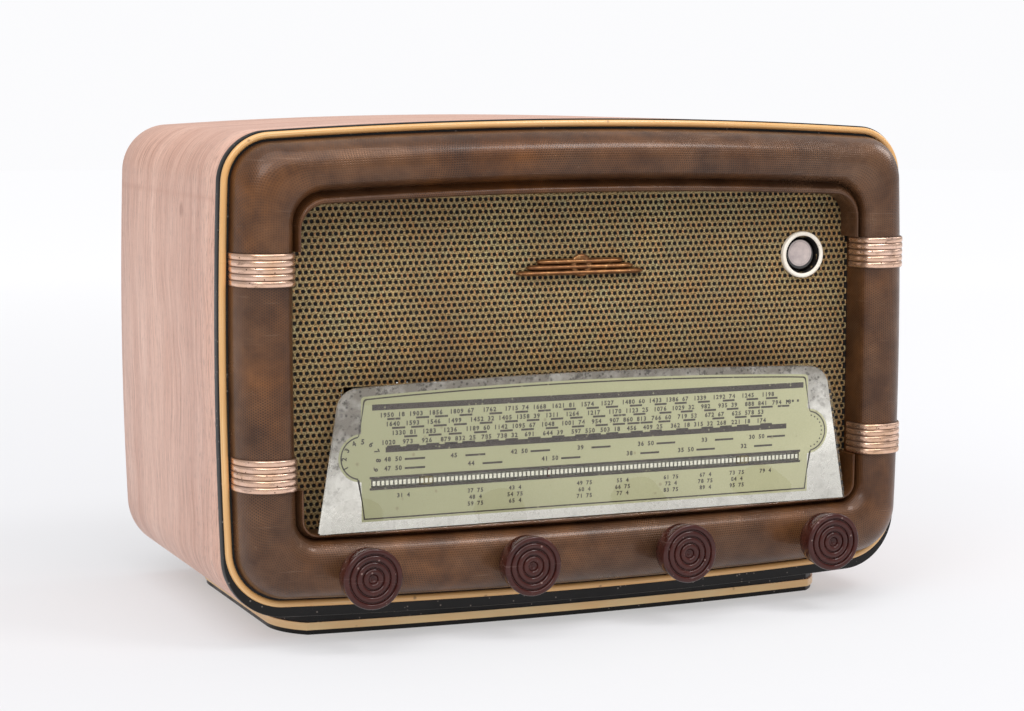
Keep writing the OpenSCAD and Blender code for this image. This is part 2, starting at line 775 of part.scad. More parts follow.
// Wave switch: three wafers on spacers around the shaft
wafer_pitch = 16;
module band_switch() {
    color("peru")
    difference() {
        union() {
            post(knob_x_inner, z_knob, bush_r, y_chassis - 8, y_chassis + sheet_t + 3);
            translate([knob_x_inner, y_chassis, z_knob]) rotate([90, 0, 0])
                cylinder(r = bush_r + 2.4, h = 2.2, $fn = 6);
            post(knob_x_inner, z_knob, 16, y_chassis + sheet_t, y_chassis + sheet_t + 2.5);
            for (k = [1:3]) post(knob_x_inner, z_knob, 16, y_chassis + k * wafer_pitch,
                y_chassis + k * wafer_pitch + 2);
            for (s = [-1, 1]) post(knob_x_inner + s * 13, z_knob, 1.6, y_chassis + sheet_t,
                y_chassis + 3 * wafer_pitch + 4);
        }
        post(knob_x_inner, z_knob, shaft_r + slip, y_chassis - 9, y_chassis + sheet_t + 4);
        post(knob_x_inner, z_knob, 8 + air, y_chassis + sheet_t + 3, y_chassis + 3 * wafer_pitch + 6);
    }
}

module band_shaft() {
    color("silver")
    union() {
        post(knob_x_inner, z_knob, shaft_r, y_knob - 9.5, y_chassis + 3 * wafer_pitch + 6);
        for (k = [1:3]) post(knob_x_inner, z_knob, 8, y_chassis + k * wafer_pitch,
            y_chassis + k * wafer_pitch + 2);
    }
}

module tuning_spindle() {
    color("silver")
    union() {
        post(knob_x_outer, z_knob, shaft_r, y_knob - 9.5, y_drum - 5);
        grooved_wheel(knob_x_outer, z_knob, y_drum - 5, y_drum + 5, barrel_r, 0, 1.5);
        post(knob_x_outer, z_knob, shaft_r, y_drum + 4.9, y_chassis + 9);
    }
}

module tuning_bush() {
    color("goldenrod")
    difference() {
        union() {
            post(knob_x_outer, z_knob, bush_r, y_chassis - 8, y_chassis + 8);
            translate([knob_x_outer, y_chassis, z_knob]) rotate([90, 0, 0])
                cylinder(r = bush_r + 2.4, h = 2.2, $fn = 6);
        }
        post(knob_x_outer, z_knob, shaft_r + slip, y_chassis - 9, y_chassis + 10);
    }
}

// ---- Tuning capacitor ----
gang_shaft_r = 4;
gang_w = 64;
gang_h = 62;
y_gang = y_drum + 10;
gang_d = 58;
module gang_frame() {
    x0 = drum_x - gang_w / 2;
    z0 = z_drum - gang_h / 2;
    y1 = y_gang + gang_d;
    color("silver")
    difference() {
        union() {
            block([x0, y_gang, z0], [x0 + gang_w, y_gang + 2, z0 + gang_h]);
            block([x0, y1 - 2, z0], [x0 + gang_w, y1, z0 + gang_h]);
            block([x0, y_gang, z0], [x0 + gang_w, y1, z0 + 2]);
            for (s = [0, 1]) block([x0 + s * (gang_w - 2), y_chassis + 4, z_chassis_top],
                [x0 + s * (gang_w - 2) + 2, y1, z0 + 2]);
        }
        post(drum_x, z_drum, gang_shaft_r + slip, y_gang - 1, y1 + 1);
    }
}

vane_r = 24;
vane_pitch = 6;
vane_sections = [for (k = [0:6]) y_gang + 8 + k * vane_pitch];
module half_disc(r, y0, t, side) {
    intersection() {
        post(drum_x, z_drum, r, y0, y0 + t);
        block([drum_x - 60, y0 - 1, side > 0 ? z_drum : z_drum - 60], [drum_x + 60, y0 + t + 1,
            side > 0 ? z_drum + 60 : z_drum]);
    }
}
module gang_rotor() {
    color("lightgrey")
    union() {
        post(drum_x, z_drum, gang_shaft_r, y_drum - drum_t / 2 - 3, y_gang + gang_d + 3);
        for (y = vane_sections) half_disc(vane_r, y, 1, 1);
    }
}

module gang_stator() {
    x0 = drum_x - gang_w / 2;
    color("gainsboro")
    difference() {
        union() {
            for (y = vane_sections) translate([0, vane_pitch / 2, 0]) half_disc(vane_r + 2, y, 1, -1);
            block([drum_x - 6, y_gang + 8, z_drum - vane_r - 5], [drum_x + 6, y_gang + gang_d - 4,
                z_drum - vane_r]);
        }
        post(drum_x, z_drum, gang_shaft_r + 2, y_gang, y_gang + gang_d);
        block([drum_x - 40, y_gang, z_drum - 2], [drum_x + 40, y_gang + gang_d, z_drum + 2]);
    }
}

// ---- Chassis and what stands on it ----
valve_r = 11;
valve_xs = [-118, -66, -14, 30, 166];
y_valve = y_chassis_rear - 40;
socket_r = 11;
flange_w = 16;
module chassis() {
    color("silver")
    difference() {
        block([-chassis_hw, y_chassis, z_chassis], [chassis_hw, y_chassis_rear, z_chassis_top]);
        block([-chassis_hw + sheet_t, y_chassis + sheet_t, z_chassis + sheet_t],
            [chassis_hw - sheet_t, y_chassis_rear - sheet_t, z_chassis_top - sheet_t]);
        block([-chassis_hw + flange_w, y_chassis + flange_w, z_chassis - 1],
            [chassis_hw - flange_w, y_chassis_rear - flange_w, z_chassis + 5]);
        for (x = knob_places) post(x, z_knob, bush_r + slip, y_chassis - 1, y_chassis + sheet_t + 1);
        for (x = valve_xs) translate([x, y_valve, z_chassis_top - 5]) cylinder(r = socket_r - 2, h = 10);
    }
}

mount_r = 9;
module chassis_mounts() {
    color("dimgray")
    difference() {
        for (x = [-1, 1], y = [y_chassis + mount_r, y_chassis_rear - mount_r])
            translate([x * (chassis_hw - mount_r), y, z_floor - 1]) cylinder(r = mount_r,
                h = z_chassis - z_floor + 1);
        difference() {
            plate(y_wood - 1, y_rear + 1) polygon(loop(body_curve));
            plate(y_wood - 2, y_rear + 2) polygon(loop(inset(body_curve, wood_t)));
        }
    }
}

transformer_x = -168;
core_size = [64, 56, 30];
core_foot = 1;
bobbin_size = [50, 44, 22];
module mains_transformer() {
    y = y_chassis_rear - core_size[1] / 2 - 16;
    color("dimgray")
    translate([transformer_x, y, z_chassis_top]) union() {
        translate([0, 0, core_foot + core_size[2] / 2]) cube(core_size, center = true);
        translate([0, 0, core_foot + core_size[2] + bobbin_size[2] / 2 - 1]) cube(bobbin_size,
            center = true);
        translate([0, 0, core_size[2] / 4]) cube([bobbin_size[0] - 6, bobbin_size[1],
            core_size[2] / 2], center = true);
    }
}

output_core = [36, 28, 40];
output_coil = [24, 44, 26];
module output_transformer() {
    color("gray")
    translate([transformer_x - 8, y_chassis + output_coil[1] / 2 + 12,
        z_chassis_top + output_core[2] / 2]) union() {
        cube(output_core, center = true);
        cube(output_coil, center = true);
    }
}

can_w = 26;
can_h = 58;
module if_cans() {
    color("lightgrey")
    for (k = [0, 1]) translate([(valve_xs[k] + valve_xs[k + 1] - can_w) / 2, y_valve - 20 - can_w,
        z_chassis_top])
        cube([can_w, can_w, can_h]);
}

module valve_sockets() {
    color("sienna")
    for (x = valve_xs) translate([x, y_valve, z_chassis_top]) difference() {
        union() {
            cylinder(r = socket_r, h = 4);
            translate([0, 0, -8]) cylinder(r = socket_r - 2 - slip, h = 9);
        }
        for (a = [0:36:288]) rotate([0, 0, a]) translate([6, 0, -9]) cylinder(r = 0.8, h = 14, $fn = 16);
    }
}

valve_h = 62;
module valves() {
    color("lightcyan")
    for (x = valve_xs) translate([x, y_valve, z_chassis_top + 4]) {
        rotate_extrude() polygon(concat([[0, 0], [valve_r - 2, 0], [valve_r, 3]],
            arc([valve_r - 6, valve_h - 12], 6, 0, 80, 5), [[1.8, valve_h - 5], [0, valve_h]]));
    }
}

filter_x = 112;
filter_r = 17.5;
filter_h = 72;
module filter_capacitor() {
    color("silver")
    translate([filter_x, y_valve, z_chassis_top]) union() {
        cylinder(r = filter_r, h = filter_h);
        cylinder(r = filter_r + 2.5, h = 3);
    }
}

// ---- Loudspeaker ----
y_flange = y_baffle_rear;
flange_t = 2;
cone_r = speaker_r - 13;
coil_r = 13;
module speaker_basket() {
    color("dimgray")
    translate([speaker_x, y_flange, z_speaker]) rotate([-90, 0, 0]) difference() {
        rotate_extrude() polygon([[cone_r + 1, 0], [speaker_r, 0], [speaker_r, flange_t], [cone_r + 6,
            flange_t],
            [34, speaker_depth - 24], [34, speaker_depth - 22], [coil_r + 4, speaker_depth - 22],
            [coil_r + 4, speaker_depth - 24], [31, speaker_depth - 26], [cone_r + 3, flange_t + 2]]);
        for (a = [0:60:300]) rotate([0, 0, a]) translate([49, 0, 6]) cylinder(r = 11, h = 40);
        for (a = [45:90:315]) rotate([0, 0, a]) translate([speaker_r - 4, 0, -1]) cylinder(r = 2.2, h = 5);
    }
}

module speaker_magnet() {
    color("gray")
    translate([speaker_x, y_flange + speaker_depth - 22, z_speaker]) rotate([-90, 0, 0]) difference() {
        cylinder(r = 32, h = 22);
        translate([0, 0, -1]) cylinder(r = coil_r + 2, h = 12);
    }
}

module speaker_cone() {
    color("darkolivegreen")
    translate([speaker_x, y_flange, z_speaker]) rotate([-90, 0, 0]) union() {
        rotate_extrude() polygon([[cone_r, 2.2], [cone_r, 3.4], [cone_r - 4, 4], [coil_r + 1,
            speaker_depth - 30],
            [coil_r, speaker_depth - 30], [coil_r, speaker_depth - 32], [cone_r - 6, 3], [cone_r - 4,
                2.2]]);
        translate([0, 0, speaker_depth - 31]) difference() {
            cylinder(r = coil_r + 0.6, h = 14);
            translate([0, 0, -1]) cylinder(r = coil_r - 0.2, h = 16);
        }
        translate([0, 0, speaker_depth - 31]) cylinder(r = coil_r + 0.3, h = 0.8);
    }
}

// ---- Back ----
back_t = 3;
batten = 14;
y_back = y_rear - 9;
back_curve = inset(body_curve, wood_t + 1);
screw_zs = [z_low + 50, (z_low + z_high) / 2, z_high - 60];
screw_x = cabinet_w / 2 - wood_t - 9 - side_bulge;
z_rear_panel = z_chassis + chassis_h / 2;
grommet_x = 150;
grommet_r = 8;
socket_xs = [-120, -101, -52, -33, 30, 49];
strip_x = [socket_xs[0] - 8, socket_xs[5] + 8];
strip_h = 18;
strip_t = 8;
vent_pitch = 22;
vent_w = 3;
jack_r = 2;
module back_panel() {
    color("sienna")
    difference() {
        plate(y_back, y_back + back_t) difference() {
            polygon(loop(back_curve));
            for (k = [-8:8], row = [0:3]) translate([k * vent_pitch - vent_w / 2, z_high - 130 + row * 24])
                square([vent_w, 18]);
            for (k = [-7:7]) translate([k * vent_pitch - vent_w / 2, z_chassis_top + 20])
                square([vent_w, 26]);
            translate([strip_x[0] - 2, z_rear_panel - strip_h / 2 - 2])
                square([strip_x[1] - strip_x[0] + 4, strip_h + 4]);
            translate([grommet_x, z_rear_panel]) circle(r = grommet_r);
        }
        for (s = [-1, 1], z = screw_zs) post(s * screw_x, z, 2, y_back - 1, y_back + 5);
    }
}

module back_battens() {
    color("burlywood")
    difference() {
        intersection() {
            for (s = [-1, 1]) block([s > 0 ? screw_x - 9 : -cabinet_w / 2, y_back - batten, z_low + 40],
                [s > 0 ? cabinet_w / 2 : -screw_x + 9, y_back, z_high - 50]);
            plate(y_back - batten - 1, y_back + 1) polygon(loop(inset(body_curve, wood_t)));
        }
        for (s = [-1, 1], z = screw_zs) post(s * screw_x, z, 1.5, y_back - 11, y_back + 1);
    }
}

module back_screws() {
    color("goldenrod")
    for (s = [-1, 1], z = screw_zs) {
        post(s * screw_x, z, 1.5, y_back - 10, y_back + back_t);
        difference() {
            post(s * screw_x, z, 3.4, y_back + back_t, y_back + back_t + 2);
            block([s * screw_x - 0.5, y_back + back_t + 1.2, z - 4], [s * screw_x + 0.5,
                y_back + back_t + 3, z + 4]);
        }
    }
}

// Insulating strip with plug sockets for aerial, earth, pick-up and extension loudspeaker
y_strip = y_chassis_rear;
module rear_sockets() {
    color("peru")
    difference() {
        block([strip_x[0], y_strip, z_rear_panel - strip_h / 2], [strip_x[1], y_strip + strip_t,
            z_rear_panel + strip_h / 2]);
        for (x = socket_xs) post(x, z_rear_panel, jack_r, y_strip - 1, y_strip + strip_t + 1);
    }
}

module cord_grommet() {
    color("black")
    difference() {
        union() {
            post(grommet_x, z_rear_panel, grommet_r - slip, y_back - 2, y_back + back_t + 2);
            post(grommet_x, z_rear_panel, grommet_r + 2.5, y_back + back_t, y_back + back_t + 2);
            post(grommet_x, z_rear_panel, grommet_r + 2.5, y_back - 2, y_back);
        }
        post(grommet_x, z_rear_panel, 4, y_back - 3, y_back + back_t + 3);
    }
}

wood_shell();
front_frame();
trim_piping();
bezel_top();
bezel_bottom();
bezel_left();
bezel_right();
bezel_clips();
baffle_board();
grille_cloth();
eye_ring();
eye_tube();
eye_bracket();
trim_bar();
dial_glass();
dial_panel();
dial_mirror();
dial_backplate();
dial_lamps();
pointer_rail();
pointer();
drive_drum();
drive_cord();
pulley_left();
pulley_right();
tuning_spindle();
tuning_bush();
knob_volume();
knob_tone();
knob_band();
knob_tuning();
volume_control();
volume_shaft();
tone_control();
tone_shaft();
band_switch();
band_shaft();
gang_frame();
gang_stator();
gang_rotor();
chassis();
chassis_mounts();
mains_transformer();
output_transformer();
if_cans();
valve_sockets();
valves();
filter_capacitor();
speaker_basket();
speaker_cone();
speaker_magnet();
back_panel();
back_screws();
back_battens();
rear_sockets();
cord_grommet();
plinth();
plinth_stripe();
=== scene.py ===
"""Looks of a tabletop valve radio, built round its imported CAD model.

Every part is made in metres in the frame of the model: X to the right, Y to the rear, Z up.
"""

import logging
from collections.abc import Callable, Sequence
from dataclasses import dataclass, field
from enum import Enum
from math import acos, asin, atan2, cos, dist, pi, radians, sin, sqrt

import bmesh
import bpy
from mathutils import Euler, Matrix, Vector


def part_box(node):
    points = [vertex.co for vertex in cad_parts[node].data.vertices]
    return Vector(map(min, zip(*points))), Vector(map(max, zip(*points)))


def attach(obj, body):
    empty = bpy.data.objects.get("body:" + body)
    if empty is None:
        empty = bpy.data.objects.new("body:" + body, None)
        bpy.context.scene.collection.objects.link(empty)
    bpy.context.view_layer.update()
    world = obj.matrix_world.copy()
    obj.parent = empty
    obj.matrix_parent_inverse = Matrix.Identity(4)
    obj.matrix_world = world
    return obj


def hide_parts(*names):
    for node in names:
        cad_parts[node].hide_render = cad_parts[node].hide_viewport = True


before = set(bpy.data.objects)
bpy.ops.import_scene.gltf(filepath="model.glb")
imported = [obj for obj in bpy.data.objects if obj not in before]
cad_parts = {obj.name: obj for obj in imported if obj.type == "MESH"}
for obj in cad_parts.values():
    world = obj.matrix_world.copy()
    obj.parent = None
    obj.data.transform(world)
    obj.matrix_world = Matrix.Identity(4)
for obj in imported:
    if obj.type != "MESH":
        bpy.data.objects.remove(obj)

LOG = logging.getLogger("radio")
MM = 0.001
VALUE = "NodeSocketFloat"
PLACE = "NodeSocketVector"
WHOLE = "NodeSocketInt"
SHAPE = "NodeSocketObject"
STUFF = "NodeSocketMaterial"
GEOMETRY = {"Geometry": "NodeSocketGeometry"}
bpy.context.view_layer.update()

SHARP = 38.0

Flat = tuple[float, float]
Solid = tuple[float, float, float]
Tone = tuple[int, int, int]
Line = list[Flat]
Faces = list[tuple[int, ...]]
Socket = bpy.types.NodeSocket
Level = Socket | float
Node = bpy.types.Node
Tree = bpy.types.NodeTree
Piece = bpy.types.Object
Mesh = bpy.types.Mesh


def shade(red: int, green: int, blue: int) -> tuple[float, float, float, float]:
    """Turns a display colour into the linear colour that a socket takes.

    Args:
        red: Red from 0 to 255.
        green: Green from 0 to 255.
        blue: Blue from 0 to 255.

    Returns:
        The linear colour with full alpha.
    """

    def line(value: float) -> float:
        """Undoes the display curve for one channel."""
        value /= 255
        return value / 12.92 if value <= 0.04045 else ((value + 0.055) / 1.055) ** 2.4

    return (line(red), line(green), line(blue), 1.0)


# ---- outlines


def arc(centre: Flat, radius: float, start: float, end: float, steps: int) -> Line:
    """Points of an arc, both ends included.

    Args:
        centre: Centre in the plane.
        radius: Radius.
        start: First angle in radians.
        end: Last angle in radians.
        steps: Number of chords.

    Returns:
        The points in order.
    """
    turn = [(start + (end - start) * k / steps) for k in range(steps + 1)]
    return [(centre[0] + radius * cos(a), centre[1] + radius * sin(a)) for a in turn]


def sag_radius(half: float, sag: float) -> float:
    """Radius of the arc that rises by sag over a half chord."""
    return (half * half + sag * sag) / (2 * sag)


def mirrored(half: Line) -> Line:
    """A right half followed by its mirror image, back to its start's height."""
    return half + [(-x, z) for x, z in reversed(half[:-1])]


def blend(a: Flat, b: Flat, share: float) -> Flat:
    """The point at a share of the way from a to b."""
    return (a[0] + share * (b[0] - a[0]), a[1] + share * (b[1] - a[1]))


def rounded(points: Line, cuts: int) -> Line:
    """A smooth line through points.

    Args:
        points: Points to pass through.
        cuts: Chords between two of them.

    Returns:
        The finer line.
    """
    line: Line = []
    for k in range(len(points) - 1):
        a, b = points[max(k - 1, 0)], points[k]
        c, d = points[k + 1], points[min(k + 2, len(points) - 1)]
        for step in range(cuts):
            t = step / cuts
            line.append(
                tuple(
                    0.5 * (2 * b[i] + (c[i] - a[i]) * t + (2 * a[i] - 5 * b[i] + 4 * c[i] - d[i]) * t * t
                           + (3 * b[i] - a[i] - 3 * c[i] + d[i]) * t**3)
                    for i in (0, 1)
                )
            )
    return line + [points[-1]]


@dataclass(frozen=True)
class Outline:
    """Rounded outline held by a side, a top and a foot circle and two corner radii."""

    side: Flat
    side_r: float
    top: Flat
    top_r: float
    foot: Flat
    foot_r: float
    low_r: float
    high_r: float
    steps: tuple[int, int, int] = (14, 26, 44)

    @classmethod
    def ruled(cls, half: float, low: float, high: float, low_arch: float, high_arch: float,
              bulge: float, low_r: float, high_r: float) -> "Outline":
        """Makes the outline from its sizes.

        Args:
            half: Half width.
            low: Height of the lowest point.
            high: Height of the highest point.
            low_arch: Drop of the foot in the middle.
            high_arch: Rise of the top in the middle.
            bulge: Bulge of each side.
            low_r: Radius of the lower corners.
            high_r: Radius of the upper corners.

        Returns:
            The outline.
        """
        side_r = sag_radius((high - low) / 2, bulge)
        top_r, foot_r = sag_radius(half, high_arch), sag_radius(half, low_arch)
        return cls((half - side_r, (high + low) / 2), side_r, (0, high - top_r), top_r,
                   (0, low + foot_r), foot_r, low_r, high_r)

    def inset(self, gap: float) -> "Outline":
        """The same outline, smaller by gap all round."""
        return Outline(self.side, self.side_r - gap, self.top, self.top_r - gap, self.foot,
                       self.foot_r - gap, self.low_r - gap, self.high_r - gap, self.steps)

    def half_line(self, z: float, upper: bool) -> Line:
        """The right half from a height to the middle of the top or the foot.

        Args:
            z: Height where it starts.
            upper: True for the top, False for the foot.

        Returns:
            Its points.
        """
        end, end_r, corner_r = (self.top, self.top_r, self.high_r) if upper else (self.foot, self.foot_r,
                                                                                  self.low_r)
        one, two = self.side_r - corner_r, end_r - corner_r
        span = dist(self.side, end)
        ux, uz = (end[0] - self.side[0]) / span, (end[1] - self.side[1]) / span
        along = (one * one - two * two + span * span) / (2 * span)
        off = sqrt(one * one - along * along)
        centre = max((self.side[0] + along * ux - s * off * uz, self.side[1] + along * uz + s * off * ux)
                     for s in (1, -1))
        a = atan2(centre[1] - self.side[1], centre[0] - self.side[0])
        b = atan2(centre[1] - end[1], centre[0] - end[0])
        start = asin((z - self.side[1]) / self.side_r)
        middle = pi / 2 if upper else -pi / 2
        return (arc(self.side, self.side_r, start, a, self.steps[0])
                + arc(centre, corner_r, a, b, self.steps[1])[1:]
                + arc(end, end_r, b, middle, self.steps[2])[1:])

    def ring(self) -> Line:
        """The whole outline, from the middle of its foot round over its right side.

        Returns:
            Its points, as a closed line.
        """
        z = self.side[1]
        right = self.half_line(z, False)[::-1] + self.half_line(z, True)[1:]
        return right + [(-x, y) for x, y in reversed(right)][1:-1]

    def side_line(self, low: float, high: float, steps: int) -> Line:
        """The right side between two heights."""
        a, b = (asin((z - self.side[1]) / self.side_r) for z in (low, high))
        return arc(self.side, self.side_r, a, b, steps)


# ---- meshes


def place(name: str, data: bpy.types.ID) -> Piece:
    """Puts a mesh, a curve, a light or a camera in the scene as an object at the origin.

    Args:
        name: Name of the object.
        data: What it holds.

    Returns:
        The object.
    """
    piece = bpy.data.objects.new(name, data)
    bpy.context.scene.collection.objects.link(piece)
    return piece


def skin(name: str, points: Sequence[Sequence[float]], faces: Faces) -> Mesh:
    """Makes a mesh.

    Args:
        name: Name of the mesh.
        points: Its points.
        faces: Point numbers of each face.

    Returns:
        The mesh.
    """
    mesh = bpy.data.meshes.new(name)
    mesh.from_pydata(points, [], faces)
    return mesh


def tidy(mesh: Mesh, merge: float = 1e-7, sharp: float = SHARP) -> Mesh:
    """Merges doubles, turns faces outwards and shades the mesh smooth.

    Args:
        mesh: Mesh to change.
        merge: Distance under which points become one.
        sharp: Angle in degrees over which an edge stays sharp.

    Returns:
        The same mesh.
    """
    work = bmesh.new()
    work.from_mesh(mesh)
    bmesh.ops.remove_doubles(work, verts=work.verts, dist=merge)
    bmesh.ops.dissolve_degenerate(work, edges=work.edges, dist=merge)
    bmesh.ops.recalc_face_normals(work, faces=work.faces)
    work.to_mesh(mesh)
    work.free()
    mesh.shade_smooth()
    mesh.set_sharp_from_angle(angle=radians(sharp))
    return mesh


def lengths(points: Sequence[Sequence[float]]) -> list[float]:
    """Distance from the first point to each point along the line.

    Args:
        points: Points of the line.

    Returns:
        The distances.
    """
    total, found = 0.0, [0.0]
    for a, b in zip(points, points[1:]):
        total += dist(a, b)
        found.append(total)
    return found


def loft(name: str, rows: list[list[Solid]], ring: bool = False, tube: bool = True,
         sharp: float = SHARP) -> Piece:
    """Skins a row of equal sections, with lengths along and across as its UV map.

    Args:
        name: Name of the piece.
        rows: Sections, each a list of points.
        ring: The last section joins the first.
        tube: Each section is a closed line.
        sharp: Angle in degrees over which an edge stays sharp.

    Returns:
        The piece.
    """
    count, across = len(rows), len(rows[0])
    wrap_rows = rows + [rows[0]] if ring else rows
    wrap_line = rows[count // 2] + [rows[count // 2][0]] if tube else rows[count // 2]
    u = lengths([row[across // 3] for row in wrap_rows])
    v = lengths(wrap_line)
    faces: Faces = []
    places: Line = []
    for i in range(len(wrap_rows) - 1):
        for j in range(len(wrap_line) - 1):
            a, b = i * across, ((i + 1) % count) * across
            k = (j + 1) % across
            faces.append((a + j, a + k, b + k, b + j))
            places += [(u[i], v[j]), (u[i], v[j + 1]), (u[i + 1], v[j + 1]), (u[i + 1], v[j])]
    if tube and not ring:
        for end in (0, count - 1):
            faces.append(tuple(end * across + j for j in range(across)))
            places += [(rows[end][j][0], rows[end][j][1]) for j in range(across)]
    mesh = skin(name, [point for row in rows for point in row], faces)
    layer = mesh.uv_layers.new(name="UVMap")
    layer.data.foreach_set("uv", [x for spot in places for x in spot])
    return place(name, tidy(mesh, sharp=sharp))


def lathe(name: str, profile: Line, centre: Flat, steps: int = 96, closed: bool = False,
          sharp: float = SHARP) -> Piece:
    """Turns a profile about an axis along Y.

    Args:
        name: Name of the piece.
        profile: Points of radius and Y.
        centre: X and Z of the axis.
        steps: Number of steps round.
        closed: The profile is a closed line that stays off the axis.
        sharp: Angle in degrees over which an edge stays sharp.

    Returns:
        The piece.
    """
    rows = []
    for k in range(steps):
        c, s = cos(2 * pi * k / steps), sin(2 * pi * k / steps)
        rows.append([(centre[0] + r * c, y, centre[1] + r * s) for r, y in profile])
    return loft(name, rows, ring=True, tube=closed, sharp=sharp)


def outline_mesh(name: str, loops: list[Line], front: float, back: float) -> Mesh:
    """Fills loops in the front plane, holes left open, and gives the plate its thickness.

    Args:
        name: Name of the mesh.
        loops: Outer loop and holes, as X and Z.
        front: Y of the front face.
        back: Y of the rear face, the same as front for a flat print.

    Returns:
        The mesh.
    """
    curve = bpy.data.curves.new(name, "CURVE")
    curve.dimensions, curve.fill_mode = "2D", "BOTH"
    curve.extrude = (back - front) / 2
    for loop in loops:
        spline = curve.splines.new("POLY")
        spline.points.add(len(loop) - 1)
        for point, (x, z) in zip(spline.points, loop):
            point.co = (x, z, 0, 1)
        spline.use_cyclic_u = True
    holder = place(name, curve)
    mesh = baked(holder)
    bpy.data.objects.remove(holder)
    mesh.transform(Matrix(((1, 0, 0, 0), (0, 0, -1, (front + back) / 2), (0, 1, 0, 0), (0, 0, 0, 1))))
    return mesh


def plate(name: str, loops: list[Line], front: float, back: float, edge: float = 0.0) -> Piece:
    """A plate in the front plane with softened edges.

    Args:
        name: Name of the piece.
        loops: Outer loop and holes, as X and Z.
        front: Y of the front face.
        back: Y of the rear face.
        edge: Width of the softened edge.

    Returns:
        The piece.
    """
    piece = place(name, tidy(outline_mesh(name, loops, front, back), 1e-6))
    if edge > 0:
        bevel = piece.modifiers.new("edge", "BEVEL")
        bevel.width, bevel.segments, bevel.limit_method = edge, 2, "ANGLE"
        fixed(piece)
        tidy(piece.data)
    return piece


def baked(piece: Piece) -> Mesh:
    """The piece's evaluated mesh as a plain mesh.

    Args:
        piece: Piece with its modifiers.

    Returns:
        The mesh.
    """
    bpy.context.view_layer.update()
    evaluated = piece.evaluated_get(bpy.context.evaluated_depsgraph_get())
    return bpy.data.meshes.new_from_object(evaluated, preserve_all_data_layers=True,
                                           depsgraph=bpy.context.evaluated_depsgraph_get())


def fixed(piece: Piece) -> Piece:
    """Makes the piece's modifiers part of its mesh.

    Args:
        piece: Piece with its modifiers.

    Returns:
        The same piece.
    """
    mesh = baked(piece)
    piece.modifiers.clear()
    piece.data = mesh
    return piece


def joined(name: str, parts: list[Piece]) -> Piece:
    """Puts several pieces of one finish together as one piece.

    Args:
        name: Name of the whole.
        parts: Pieces to join.

    Returns:
        The whole.
    """
    work = bmesh.new()
    for part in parts:
        work.from_mesh(part.data)
        bpy.data.objects.remove(part)
    mesh = bpy.data.meshes.new(name)
    work.to_mesh(mesh)
    work.free()
    mesh.set_sharp_from_angle(angle=radians(SHARP))
    return place(name, mesh)


def cut_by(piece: Piece, cutter: Piece) -> Piece:
    """Takes one closed piece out of another and removes the cutter.

    Args:
        piece: Piece to cut.
        cutter: Piece that cuts it.

    Returns:
        The cut piece.
    """
    cut = piece.modifiers.new("cut", "BOOLEAN")
    cut.operation, cut.object, cut.solver = "DIFFERENCE", cutter, "EXACT"
    fixed(piece)
    bpy.data.objects.remove(cutter)
    return piece


def drilled(piece: Piece, holes: Line, radius: float, front: float, back: float) -> Piece:
    """Cuts round holes along Y through a closed piece.

    Args:
        piece: Piece to cut.
        holes: X and Z of each hole.
        radius: Radius of the holes.
        front: Y where each starts.
        back: Y where each ends.

    Returns:
        The cut piece.
    """
    drills = [lathe("drill", [(0, front), (radius, front), (radius, back), (0, back)], hole, 48)
              for hole in holes]
    cut_by(piece, joined("drills", drills))
    piece.data.set_sharp_from_angle(angle=radians(SHARP))
    return piece


# ---- node trees


